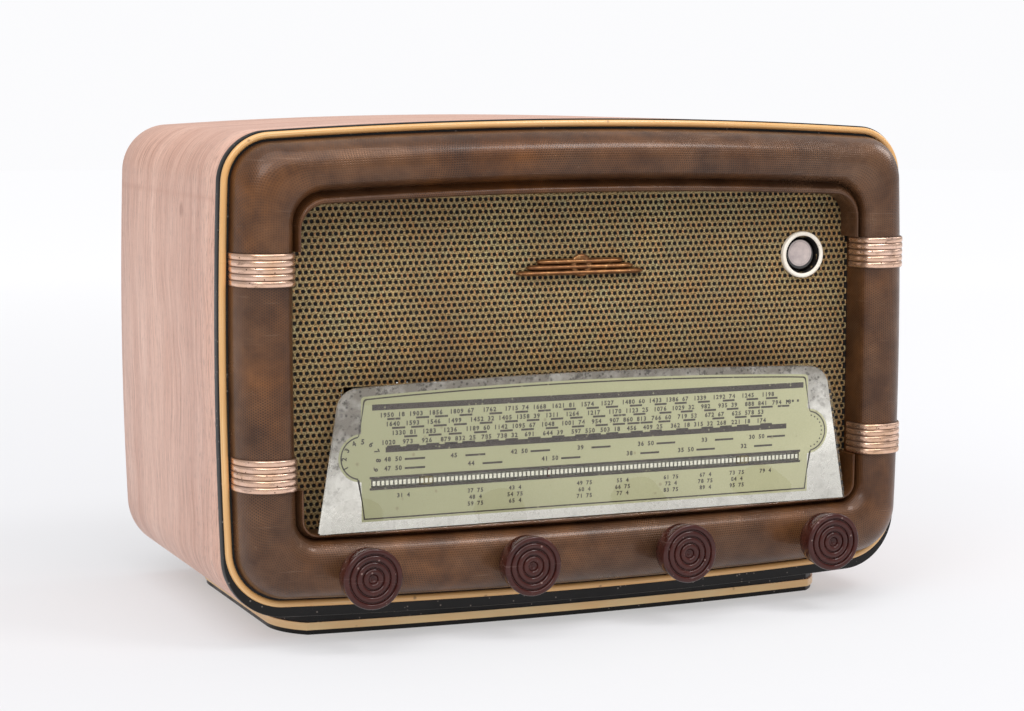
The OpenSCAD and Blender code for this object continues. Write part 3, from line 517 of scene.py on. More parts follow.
@dataclass
class Net:
    """Short way to add nodes to a tree and to join them."""

    tree: Tree

    def add(self, kind: str, values: dict[int | str, object] | None = None, **settings: object) -> Node:
        """Adds a node.

        Args:
            kind: Type of the node.
            values: Value or incoming socket for each input.
            settings: Settings of the node itself.

        Returns:
            The node.
        """
        node = self.tree.nodes.new(kind)
        for key, value in settings.items():
            setattr(node, key, value)
        for key, value in (values or {}).items():
            if isinstance(value, Socket):
                self.tree.links.new(value, node.inputs[key])
            else:
                node.inputs[key].default_value = value
        return node

    def math(self, operation: str, a: Level, b: Level = 0.0, clamp: bool = False) -> Socket:
        """The result of a sum on two values."""
        return self.add("ShaderNodeMath", {0: a, 1: b}, operation=operation, use_clamp=clamp).outputs[0]

    def times(self, a: Level, b: Level, clamp: bool = False) -> Socket:
        """The product of two values."""
        return self.math("MULTIPLY", a, b, clamp)

    def plus(self, a: Level, b: Level, clamp: bool = False) -> Socket:
        """The sum of two values."""
        return self.math("ADD", a, b, clamp)

    def less(self, a: Level, b: Level) -> Socket:
        """The first value less the second."""
        return self.math("SUBTRACT", a, b)

    def most(self, a: Level, b: Level) -> Socket:
        """The larger of two values."""
        return self.math("MAXIMUM", a, b)

    def away(self, x: Socket, z: Socket) -> Socket:
        """The distance that two offsets at right angles make."""
        return self.math("SQRT", self.plus(self.times(x, x), self.times(z, z)))

    def split(self, vector: Socket) -> list[Socket]:
        """The three parts of a place."""
        return list(self.add("ShaderNodeSeparateXYZ", {0: vector}).outputs)

    def merge(self, x: Level = 0.0, y: Level = 0.0, z: Level = 0.0) -> Socket:
        """A place from its three parts."""
        return self.add("ShaderNodeCombineXYZ", {0: x, 1: y, 2: z}).outputs[0]

    def own(self, name: str) -> Socket:
        """A value that the mesh itself carries."""
        return self.add("ShaderNodeAttribute", attribute_name=name).outputs["Fac"]

    def give(self, end: Node, **found: Socket) -> Tree:
        """Joins values to a group's outputs and gives its tree.

        Args:
            end: The group's output node.
            found: Value for each named output.

        Returns:
            The group's tree.
        """
        for label, value in found.items():
            self.tree.links.new(value, end.inputs[label])
        return self.tree

    def span(self, value: Socket, low: float, high: float, to_low: Level = 0.0,
             to_high: Level = 1.0) -> Socket:
        """The value moved from one range to another, held inside it."""
        values = {0: value, 1: low, 2: high, 3: to_low, 4: to_high}
        return self.add("ShaderNodeMapRange", values).outputs[0]

    def mix(self, share: Level, a: object, b: object, kind: str = "MIX") -> Socket:
        """A colour between two colours."""
        node = self.add("ShaderNodeMix", {0: share, 6: a, 7: b}, data_type="RGBA", blend_type=kind)
        return node.outputs[2]

    def stain(self, colour: Socket, tone: Tone, mask: Socket, share: float = 1.0) -> Socket:
        """The colour with a tone laid over it by a mask."""
        return self.mix(self.times(mask, share) if share < 1 else mask, colour, shade(*tone))

    def noise(self, vector: Socket, scale: Level, detail: float = 4.0, rough: float = 0.55) -> Socket:
        """A soft cloudy value at a place."""
        values = {"Vector": vector, "Scale": scale, "Detail": detail, "Roughness": rough}
        return self.add("ShaderNodeTexNoise", values).outputs[0]

    def stretch(self, vector: Socket, scale: Solid, offset: Solid = (0, 0, 0)) -> Socket:
        """The place with each axis scaled."""
        values = {"Vector": vector, "Scale": scale, "Location": offset}
        return self.add("ShaderNodeMapping", values).outputs[0]

    def spot(self, uv: bool = False) -> Socket:
        """Object coordinates, or the piece's own UV map."""
        return self.add("ShaderNodeTexCoord").outputs["UV" if uv else "Object"]

    def effect(self, effect: "Effect", output: str, spot: Socket, **values: float) -> Socket:
        """Places an effect in a material and gives one of its outputs.

        Args:
            effect: Effect to place.
            output: Name of the output.
            spot: Socket with the place.
            values: Value of each other input.

        Returns:
            The output's socket.
        """
        node = self.add("ShaderNodeGroup", node_tree=effect.tree())
        self.tree.links.new(spot, node.inputs["Place"])
        for label, value in values.items():
            node.inputs[label].default_value = value
        return node.outputs[output]

    def grain(self, output: str, spot: Socket, along: float, across: float) -> Socket:
        """The figure, the bands or the pores of wood."""
        return self.effect(Effect.GRAIN, output, spot, Along=along, Across=across)

    def mottle(self, spot: Socket, scale: float, low: float, high: float) -> Socket:
        """Soft patches from a low to a high level."""
        return self.effect(Effect.MOTTLE, "Level", spot, Scale=scale, Low=low, High=high)

    def specks(self, spot: Socket, scale: float, amount: float) -> Socket:
        """Scattered small dots."""
        return self.effect(Effect.SPECKS, "Mask", spot, Scale=scale, Amount=amount)

    def rubbed(self, spot: Socket, scale: float, amount: float) -> Socket:
        """Worn patches."""
        return self.effect(Effect.RUBBED, "Mask", spot, Scale=scale, Amount=amount)

    def feed(self, colour: object, rough: Level, height: Socket | None = None,
             deep: float = 0.0001, **others: object) -> Socket:
        """Adds the shader and joins colour, roughness and relief to it.

        Args:
            colour: Colour or its socket.
            rough: Roughness or its socket.
            height: Relief from 0 to 1.
            deep: Height of the relief in metres.
            others: Other inputs, by their names with _ for a space.

        Returns:
            The surface.
        """
        named = {key.replace("_", " "): value for key, value in others.items()}
        shader = self.add("ShaderNodeBsdfPrincipled", {"Base Color": colour, "Roughness": rough} | named)
        if height is not None:
            bump = self.add("ShaderNodeBump", {"Height": height, "Strength": 1.0, "Distance": deep})
            self.tree.links.new(bump.outputs[0], shader.inputs["Normal"])
        return shader.outputs[0]


def new_group(name: str, kind: str, inputs: dict[str, tuple[str, object]],
              outputs: dict[str, str]) -> tuple[Net, Node, Node]:
    """Starts a node group with named sockets.

    Args:
        name: Name of the group.
        kind: Type of the tree.
        inputs: Socket type and first value of each input.
        outputs: Socket type of each output.

    Returns:
        Its net, its input node and its output node.
    """
    tree = bpy.data.node_groups.new(name, kind)
    for label, (socket_type, value) in inputs.items():
        socket = tree.interface.new_socket(name=label, in_out="INPUT", socket_type=socket_type)
        if value is not None:
            socket.default_value = value
    for label, socket_type in outputs.items():
        tree.interface.new_socket(name=label, in_out="OUTPUT", socket_type=socket_type)
    net = Net(tree)
    return net, net.add("NodeGroupInput"), net.add("NodeGroupOutput")




class Effect(Enum):
    """Effects that several finishes use, each one node group."""

    GRAIN = "grain"
    MOTTLE = "mottle"
    SPECKS = "specks"
    RUBBED = "rubbed"
    DIMPLES = "dimples"

    def tree(self) -> Tree:
        """The effect's node group, built the first time it is asked for."""
        found = bpy.data.node_groups.get(self.value)
        return found or getattr(self, f"_{self.value}")()

    def _grain(self) -> Tree:
        """Long fibres with darker pores, running along the first axis.

        Returns:
            The group's tree.
        """
        net, start, end = new_group(
            self.value, "ShaderNodeTree",
            {"Place": (PLACE, None), "Along": (VALUE, 5.0), "Across": (VALUE, 260.0)},
            {"Figure": VALUE, "Pores": VALUE, "Bands": VALUE})
        take = start.outputs
        split = net.split(take["Place"])
        wave = net.times(net.noise(take["Place"], 7.0, 2.0), 0.05)
        along = net.times(split[0], take["Along"])
        side = net.plus(net.plus(split[1], split[2]), wave)
        across = net.times(side, take["Across"])
        fibre = net.noise(net.merge(along, across), 1.0, 6.0, 0.62)
        wide = net.noise(net.merge(net.times(along, 0.3), net.times(across, 0.12)), 1.0, 3.0)
        fine = net.noise(net.merge(net.times(along, 16.0), net.times(across, 3.2)), 1.0, 2.0)
        return net.give(end, Figure=fibre, Bands=wide, Pores=net.span(fine, 0.58, 0.66))

    def _mottle(self) -> Tree:
        """Soft patches between two levels.

        Returns:
            The group's tree.
        """
        net, start, end = new_group(
            self.value, "ShaderNodeTree",
            {"Place": (PLACE, None), "Scale": (VALUE, 30.0), "Low": (VALUE, 0.0), "High": (VALUE, 1.0)},
            {"Level": VALUE})
        take = start.outputs
        cloud = net.noise(take["Place"], take["Scale"], 5.0, 0.6)
        level = net.span(cloud, 0.32, 0.68, take["Low"], take["High"])
        return net.give(end, Level=level)

    def _specks(self) -> Tree:
        """Scattered small dots, as dust, pits or lost silver.

        Returns:
            The group's tree.
        """
        net, start, end = new_group(
            self.value, "ShaderNodeTree",
            {"Place": (PLACE, None), "Scale": (VALUE, 400.0), "Amount": (VALUE, 0.1)}, {"Mask": VALUE})
        take = start.outputs
        cells = net.add("ShaderNodeTexVoronoi", {"Vector": take["Place"], "Scale": take["Scale"]})
        chance = net.add("ShaderNodeSeparateColor", {0: cells.outputs[1]}).outputs[0]
        picked = net.math("LESS_THAN", chance, take["Amount"])
        dot = net.span(cells.outputs[0], 0.18, 0.38, 1.0, 0.0)
        return net.give(end, Mask=net.times(picked, dot))

    def _rubbed(self) -> Tree:
        """Worn patches with fine scratches in them.

        Returns:
            The group's tree.
        """
        net, start, end = new_group(
            self.value, "ShaderNodeTree",
            {"Place": (PLACE, None), "Scale": (VALUE, 20.0), "Amount": (VALUE, 0.3)}, {"Mask": VALUE})
        take = start.outputs
        patch = net.noise(take["Place"], take["Scale"], 7.0, 0.66)
        edge = net.less(0.8, net.times(take["Amount"], 0.6))
        worn = net.times(net.less(patch, edge), 9.0, clamp=True)
        thin = net.noise(net.stretch(take["Place"], (30, 30, 700)), 1.0, 2.0)
        scratch = net.times(net.span(thin, 0.68, 0.74), 0.22)
        return net.give(end, Mask=net.most(worn, scratch))

    def _dimples(self) -> Tree:
        """Staggered rows of small dents over a UV map in metres.

        Returns:
            The group's tree.
        """
        net, start, end = new_group(
            self.value, "ShaderNodeTree", {"Place": (PLACE, None), "Pitch": (VALUE, 0.0017)}, {"Dent": VALUE})
        take = start.outputs
        split = net.split(take["Place"])
        row = net.math("DIVIDE", split[1], net.times(take["Pitch"], 0.87))
        shift = net.times(net.math("MODULO", net.math("FLOOR", row), 2.0), 0.5)
        column = net.plus(net.math("DIVIDE", split[0], take["Pitch"]), shift)
        x = net.less(net.math("FRACT", column), 0.5)
        z = net.times(net.less(net.math("FRACT", row), 0.5), 0.87)
        away = net.away(x, z)
        return net.give(end, Dent=net.span(away, 0.18, 0.4, 1.0, 0.0))


# ---- finishes


@dataclass(frozen=True)
class Finish:
    """A named finish; each kind draws its own nodes."""

    name: str

    @property
    def label(self) -> str:
        """Name of the material, apart from the model's own."""
        return f"finish_{self.name}"

    def material(self) -> bpy.types.Material:
        """The finish as a material, built the first time it is asked for.

        Returns:
            The material.
        """
        found = bpy.data.materials.get(self.label)
        if found:
            return found
        made = bpy.data.materials.new(self.label)
        made.use_nodes = True
        made.node_tree.nodes.clear()
        net = Net(made.node_tree)
        net.add("ShaderNodeOutputMaterial", {"Surface": self.draw(net)})
        return made

    def draw(self, net: Net) -> Socket:
        """Draws the finish's nodes and gives its surface."""
        raise NotImplementedError


@dataclass(frozen=True)
class Veneer(Finish):
    """Bleached walnut veneer with its grain along the UV map's first axis."""

    pale: Tone = (246, 202, 180)
    dark: Tone = (186, 126, 100)
    stain: Tone = (172, 98, 62)

    def draw(self, net: Net) -> Socket:
        """Fibres, pores, a water line and a stained lower rear corner.

        Args:
            net: The material's net.

        Returns:
            The surface.
        """
        uv, spot = net.spot(True), net.spot()
        figure = net.grain("Figure", uv, 9.0, 420.0)
        bands = net.grain("Bands", uv, 4.0, 300.0)
        pores = net.grain("Pores", uv, 8.0, 420.0)
        tone = net.plus(net.times(net.span(figure, 0.3, 0.7), 0.45),
                        net.times(net.span(bands, 0.3, 0.7), 0.55))
        colour = net.mix(tone, shade(*self.pale), shade(*self.dark))
        thin = net.span(net.grain("Figure", uv, 22.0, 900.0), 0.5, 0.64, 0.0, 0.8)
        colour = net.stain(colour, (164, 108, 84), thin)
        light = net.span(net.grain("Figure", uv, 10.0, 800.0), 0.42, 0.28, 0.0, 0.6)
        colour = net.stain(colour, (240, 212, 194), light)
        split = net.split(spot)
        low = net.span(split[2], 0.075, 0.015)
        rear = net.span(split[1], 0.02, 0.135)
        cloud = net.mottle(spot, 22.0, 0.1, 1.0)
        corner = net.times(net.times(low, rear), cloud)
        line = net.span(net.math("ABSOLUTE", net.less(split[2], 0.288)), 0.0, 0.003, 0.35, 0.0)
        soaked = net.most(net.times(corner, 0.75), net.times(line, cloud))
        colour = net.mix(soaked, colour, shade(*self.stain))
        edge = net.span(split[1], -0.04, -0.112, 0.5, 1.0)
        knot_z = net.less(split[2], 0.278)
        knot_y = net.plus(split[1], 0.034)
        away = net.away(knot_z, knot_y)
        knot = net.times(net.span(away, 0.0025, 0.0065, 0.8, 0.0), net.span(figure, 0.3, 0.6, 0.4, 1.0))
        colour = net.stain(colour, (150, 88, 62), knot)
        colour = net.mix(net.times(net.times(pores, edge), 0.85), colour, shade(112, 70, 54))
        tone_shift = net.mottle(spot, 9.0, 0.0, 0.18)
        colour = net.stain(colour, (228, 200, 186), tone_shift)
        rough = net.span(figure, 0.3, 0.7, 0.4, 0.56)
        relief = net.less(figure, pores)
        return net.feed(colour, rough, relief, 0.00006, Coat_Weight=0.3, Coat_Roughness=0.35)


@dataclass(frozen=True)
class Lacquer(Finish):
    """Black lacquer with dust and dull patches."""

    def draw(self, net: Net) -> Socket:
        """Uneven gloss with dust scattered all over.

        Args:
            net: The material's net.

        Returns:
            The surface.
        """
        spot = net.spot()
        dust = net.specks(spot, 520.0, 0.05)
        dull = net.mottle(spot, 26.0, 0.22, 0.5)
        rub = net.rubbed(spot, 60.0, 0.14)
        colour = net.mix(net.times(rub, 0.35), shade(12, 9, 8), shade(70, 52, 40))
        colour = net.stain(colour, (168, 156, 146), dust, 0.5)
        return net.feed(colour, dull, net.noise(spot, 900.0, 3.0), 0.00002, Specular_IOR_Level=0.3)


@dataclass(frozen=True)
class TrimPlastic(Finish):
    """Aged cream plastic, streaked along its length."""

    tone: Tone = (226, 176, 114)
    amber: Tone = (212, 154, 86)

    def draw(self, net: Net) -> Socket:
        """Streaks, amber patches and dirt that sits in dots and scratches.

        Args:
            net: The material's net.

        Returns:
            The surface.
        """
        uv, spot = net.spot(True), net.spot()
        streak = net.noise(net.stretch(uv, (12, 1500, 1)), 1.0, 3.0)
        amber = net.mottle(spot, 16.0, 0.0, 0.55)
        dirt = net.specks(spot, 240.0, 0.035)
        rub = net.rubbed(spot, 46.0, 0.1)
        colour = net.mix(amber, shade(*self.tone), shade(*self.amber))
        colour = net.mix(net.span(streak, 0.5, 0.72, 0.0, 0.4), colour, shade(250, 226, 178))
        colour = net.mix(net.times(net.most(dirt, net.times(rub, 0.6)), 0.7), colour, shade(122, 84, 50))
        return net.feed(colour, net.span(streak, 0.3, 0.7, 0.26, 0.38), streak, 0.00003, Coat_Weight=0.3,
                        Coat_Roughness=0.15)


@dataclass(frozen=True)
class BronzeMoulding(Finish):
    """Embossed moulding in rubbed bronze-brown, with its dents worn away in patches."""

    brown: Tone = (84, 50, 25)
    gold: Tone = (150, 93, 42)
    grey: Tone = (114, 84, 62)

    def draw(self, net: Net) -> Socket:
        """Dents over a cloudy brown that turns grey and gold where hands touched it.

        Args:
            net: The material's net.

        Returns:
            The surface.
        """
        uv, spot = net.spot(True), net.spot()
        dent = net.effect(Effect.DIMPLES, "Dent", uv, Pitch=0.00175)
        fresh = net.mottle(spot, 14.0, 0.25, 1.0)
        greyed = net.mottle(net.stretch(spot, (1, 1, 1), (3, 1, 2)), 11.0, 0.0, 0.85)
        golden = net.mottle(net.stretch(spot, (1, 1, 1), (7, 4, 1)), 24.0, 0.0, 0.6)
        chips = net.rubbed(spot, 70.0, 0.2)
        dents = net.times(dent, fresh)
        leather = net.mottle(spot, 48.0, 0.0, 0.7)
        colour = net.mix(golden, shade(*self.brown), shade(*self.gold))
        colour = net.mix(greyed, colour, shade(*self.grey))
        colour = net.stain(colour, (58, 31, 14), leather)
        colour = net.stain(colour, (22, 12, 6), dents, 0.88)
        colour = net.stain(colour, (176, 146, 124), chips, 0.5)
        grit = net.noise(spot, 1400.0, 2.0)
        relief = net.less(net.times(grit, 0.35), dents)
        rough = net.plus(net.span(greyed, 0.0, 0.85, 0.36, 0.22), net.times(leather, 0.16))
        return net.feed(colour, rough, relief, 0.00019, Metallic=0.3, Specular_IOR_Level=0.35,
                        Coat_Weight=0.25, Coat_Roughness=0.15)


@dataclass(frozen=True)
class RoseMetal(Finish):
    """Thin rose-gold metal, spotted, with painted shade that darkens and dulls the grooves between its ribs.
    """

    def draw(self, net: Net) -> Socket:
        """Stained spots along the ribs and painted shade in the grooves, over bright metal.

        Args:
            net: The material's net.

        Returns:
            The surface.
        """
        spot = net.spot()
        stain = net.rubbed(net.stretch(spot, (1, 1, 3.5)), 90.0, 0.42)
        pits = net.specks(spot, 620.0, 0.07)
        warm = net.mottle(spot, 60.0, 0.0, 1.0)
        colour = net.mix(warm, shade(240, 204, 184), shade(218, 176, 144))
        # Painted shade: a value on the clips' mesh darkens the grooves between the ribs.
        groove = net.own("groove")
        dark = net.most(net.times(stain, 0.55), net.most(pits, groove))
        colour = net.stain(colour, (58, 32, 20), dark)
        rough = net.plus(net.times(dark, 0.3), 0.24)
        return net.feed(colour, rough, net.noise(net.stretch(spot, (60, 60, 900)), 1.0, 3.0), 0.00004,
                        Metallic=0.92)


@dataclass(frozen=True)
class Weave(Finish):
    """Varnished cord weave: sage and gold strands with copper threads."""

    def draw(self, net: Net) -> Socket:
        """Copper on some of the short threads, brown patches, browner low down, and painted shade in the
        holes.

        Args:
            net: The material's net.

        Returns:
            The surface.
        """
        spot = net.spot()
        thread = net.own("thread")
        hollow_shade = net.own("hollow_shade")
        choice = net.span(net.noise(net.stretch(spot, (1, 1, 1)), 190.0, 1.0), 0.46, 0.56)
        gold = net.mottle(spot, 70.0, 0.0, 1.0)
        brown = net.mottle(spot, 13.0, 0.0, 0.5)
        colour = net.mix(gold, shade(206, 198, 152), shade(226, 192, 132))
        lit = net.span(net.noise(net.stretch(spot, (1, 1, 1.6)), 700.0, 2.0), 0.36, 0.64)
        colour = net.mix(lit, net.mix(1.0, colour, shade(116, 106, 84), "MULTIPLY"), colour)
        colour = net.mix(net.times(net.times(thread, choice), 0.9), colour, shade(214, 128, 76))
        colour = net.mix(net.span(net.noise(spot, 1500.0, 1.0), 0.66, 0.74, 0.0, 0.6), colour,
                         shade(226, 214, 184))
        height = net.split(spot)[2]
        low = net.span(height, 0.27, 0.08, 0.0, 0.3)
        colour = net.mix(net.plus(brown, low, clamp=True), colour, shade(126, 88, 56))
        # Painted shade: each cell's value darkens the hole's wall and, lightly, the recessed corners between
        # strands.
        colour = net.stain(colour, (26, 12, 2), hollow_shade)
        fibre = net.noise(net.stretch(spot, (900, 900, 2600)), 1.0, 2.0)
        return net.feed(colour, 0.5, fibre, 0.00005, Specular_IOR_Level=0.15)


@dataclass(frozen=True)
class Coating(Finish):
    """A plain finish with its own colour change, roughness, relief and wear."""

    main: Tone
    other: Tone
    worn: Tone
    scale: float = 40.0
    rough: tuple[float, float] = (0.35, 0.55)
    metal: float = 0.0
    wear: float = 0.15
    dirt: float = 0.03
    relief: float = 0.00003
    relief_scale: float = 700.0
    stretch: Solid = (1, 1, 1)
    coat: float = 0.0
    shine: float = 0.5

    def draw(self, net: Net) -> Socket:
        """Patches of two colours, worn places, specks and a fine relief.

        Args:
            net: The material's net.

        Returns:
            The surface.
        """
        spot = net.spot()
        patch = net.mottle(net.stretch(spot, self.stretch), self.scale, 0.0, 1.0)
        rub = net.rubbed(spot, self.scale * 2.2, self.wear)
        dots = net.specks(spot, 430.0, self.dirt)
        colour = net.mix(patch, shade(*self.main), shade(*self.other))
        colour = net.mix(net.times(net.most(rub, dots), 0.7), colour, shade(*self.worn))
        rough = net.span(patch, 0.0, 1.0, *self.rough)
        relief = net.noise(net.stretch(spot, self.stretch), self.relief_scale, 3.0)
        return net.feed(colour, rough, relief, self.relief, Metallic=self.metal, Coat_Weight=self.coat,
                        Specular_IOR_Level=self.shine)


@dataclass(frozen=True)
class Timber(Finish):
    """Bare board with its grain along X."""

    pale: Tone
    dark: Tone

    def draw(self, net: Net) -> Socket:
        """Plain grain.

        Args:
            net: The material's net.

        Returns:
            The surface.
        """
        spot = net.spot()
        figure = net.grain("Figure", spot, 8.0, 240.0)
        pores = net.grain("Pores", spot, 8.0, 240.0)
        colour = net.mix(net.span(figure, 0.3, 0.7), shade(*self.pale), shade(*self.dark))
        return net.feed(net.stain(colour, (90, 62, 40), pores), net.span(figure, 0.3, 0.7, 0.6, 0.8),
                        figure, 0.00005)


@dataclass(frozen=True)
class ClearGlass(Finish):
    """Clear glass that lets light through to what lies behind it."""

    tint: Tone = (246, 250, 246)

    def draw(self, net: Net) -> Socket:
        """Glass with faint smears, open to light on its way to other surfaces.

        Args:
            net: The material's net.

        Returns:
            The surface.
        """
        smear = net.mottle(net.spot(), 18.0, 0.0, 0.05)
        surface = net.feed(shade(*self.tint), smear, Transmission_Weight=1.0, IOR=1.5)
        path = net.add("ShaderNodeLightPath")
        clear = net.add("ShaderNodeBsdfTransparent")
        passing = net.most(path.outputs["Is Shadow Ray"], path.outputs["Is Diffuse Ray"])
        passing = net.most(passing, path.outputs["Is Glossy Ray"])
        return net.add("ShaderNodeMixShader", {0: passing, 1: surface, 2: clear.outputs[0]}).outputs[0]


@dataclass(frozen=True)
class Silvering(Finish):
    """Silvering behind glass, gone brown and spotted away from its lower corners."""

    foot: float = 0.074
    half: float = 0.19

    def draw(self, net: Net) -> Socket:
        """Bright metal at the lower corners, tarnish and lost spots higher up.

        Args:
            net: The material's net.

        Returns:
            The surface.
        """
        spot = net.spot()
        split = net.split(spot)
        cloud = net.mottle(spot, 60.0, -0.28, 0.22)
        lean = net.span(split[0], -self.half, self.half, 0.0, 0.035)
        rise = net.span(net.less(split[2], lean), self.foot + 0.012, self.foot + 0.062)
        aged = net.plus(rise, cloud, clamp=True)
        spots = net.specks(spot, 330.0, 0.42)
        fine = net.rubbed(spot, 210.0, 0.45)
        lost = net.times(net.most(spots, fine), net.plus(aged, 0.12, clamp=True))
        colour = net.mix(net.times(aged, 0.85), shade(252, 247, 238), shade(84, 72, 58))
        colour = net.stain(colour, (52, 44, 38), lost, 0.8)
        rough = net.span(aged, 0.0, 1.0, 0.1, 0.42)
        metal = net.times(net.span(lost, 0.2, 0.8, 1.0, 0.3), net.span(aged, 0.0, 1.0, 0.74, 0.6))
        return net.feed(colour, rough, net.noise(spot, 500.0, 3.0), 0.00003, Metallic=metal)


@dataclass(frozen=True)
class PrintedPanel(Finish):
    """Sage paint behind glass, darker towards its left end, with foxing."""

    def draw(self, net: Net) -> Socket:
        """Darker at the left and paler to the right, with fine speckle and a few spots.

        Args:
            net: The material's net.

        Returns:
            The surface.
        """
        spot = net.spot()
        x = net.split(spot)[0]
        # The panel goes from darker at its left end to paler at its right.
        tone_shift = net.span(x, -0.17, 0.17)
        colour = net.mix(tone_shift, shade(158, 156, 122), shade(188, 184, 146))
        cloud = net.mottle(spot, 26.0, 0.0, 0.3)
        colour = net.stain(colour, (162, 160, 122), cloud)
        grain = net.span(net.noise(spot, 1600.0, 2.0), 0.35, 0.7, 0.0, 0.22)
        colour = net.stain(colour, (140, 138, 106), grain)
        fox = net.specks(spot, 260.0, 0.035)
        colour = net.stain(colour, (122, 106, 78), fox, 0.45)
        return net.feed(colour, 0.55, net.noise(spot, 900.0, 2.0), 0.00001)


@dataclass(frozen=True)
class Phosphor(Finish):
    """Face of the indicator: a pale target in a dark glass end."""

    centre: Flat = (0.0, 0.0)
    radius: float = 0.0098

    def draw(self, net: Net) -> Socket:
        """A mottled pale disc that ends at its radius.

        Args:
            net: The material's net.

        Returns:
            The surface.
        """
        spot = net.spot()
        split = net.split(spot)
        x = net.less(split[0], self.centre[0])
        z = net.less(split[2], self.centre[1])
        away = net.away(x, z)
        disc = net.span(away, self.radius - 0.0006, self.radius, 1.0, 0.0)
        cloud = net.mottle(spot, 160.0, 0.0, 1.0)
        pale = net.mix(cloud, shade(204, 188, 182), shade(172, 158, 156))
        ring = net.span(net.math("ABSOLUTE", net.less(away, self.radius * 0.86)), 0.0, 0.0005, 0.35, 0.0)
        pale = net.mix(ring, pale, shade(120, 108, 106))
        colour = net.mix(disc, shade(20, 17, 17), pale)
        return net.feed(colour, net.span(cloud, 0.0, 1.0, 0.12, 0.22), Coat_Weight=0.6, Coat_Roughness=0.05)


@dataclass(frozen=True)
class PaleFloor(Finish):
    """Matte floor with painted light: darker near the set, paler far off, and a faint glow that lightens
    shadows.
    """

    near: Tone = (172, 172, 175)
    far: Tone = (198, 198, 200)
    glow: float = 0.4

    def draw(self, net: Net) -> Socket:
        """A slow change to paler with the distance from the middle, and a faint painted glow.

        Args:
            net: The material's net.

        Returns:
            The surface.
        """
        away = net.add("ShaderNodeVectorMath", {0: net.spot()}, operation="LENGTH").outputs["Value"]
        # Painted light: darker near the set and paler far off, against the fall-off of the lamps.
        colour = net.mix(net.span(away, 0.6, 3.0), shade(*self.near), shade(*self.far))
        # Painted light: the floor glows a little, which lightens the shadows on it.
        return net.feed(colour, 0.9, Specular_IOR_Level=0.0, Emission_Color=(1, 1, 1, 1),
                        Emission_Strength=self.glow)


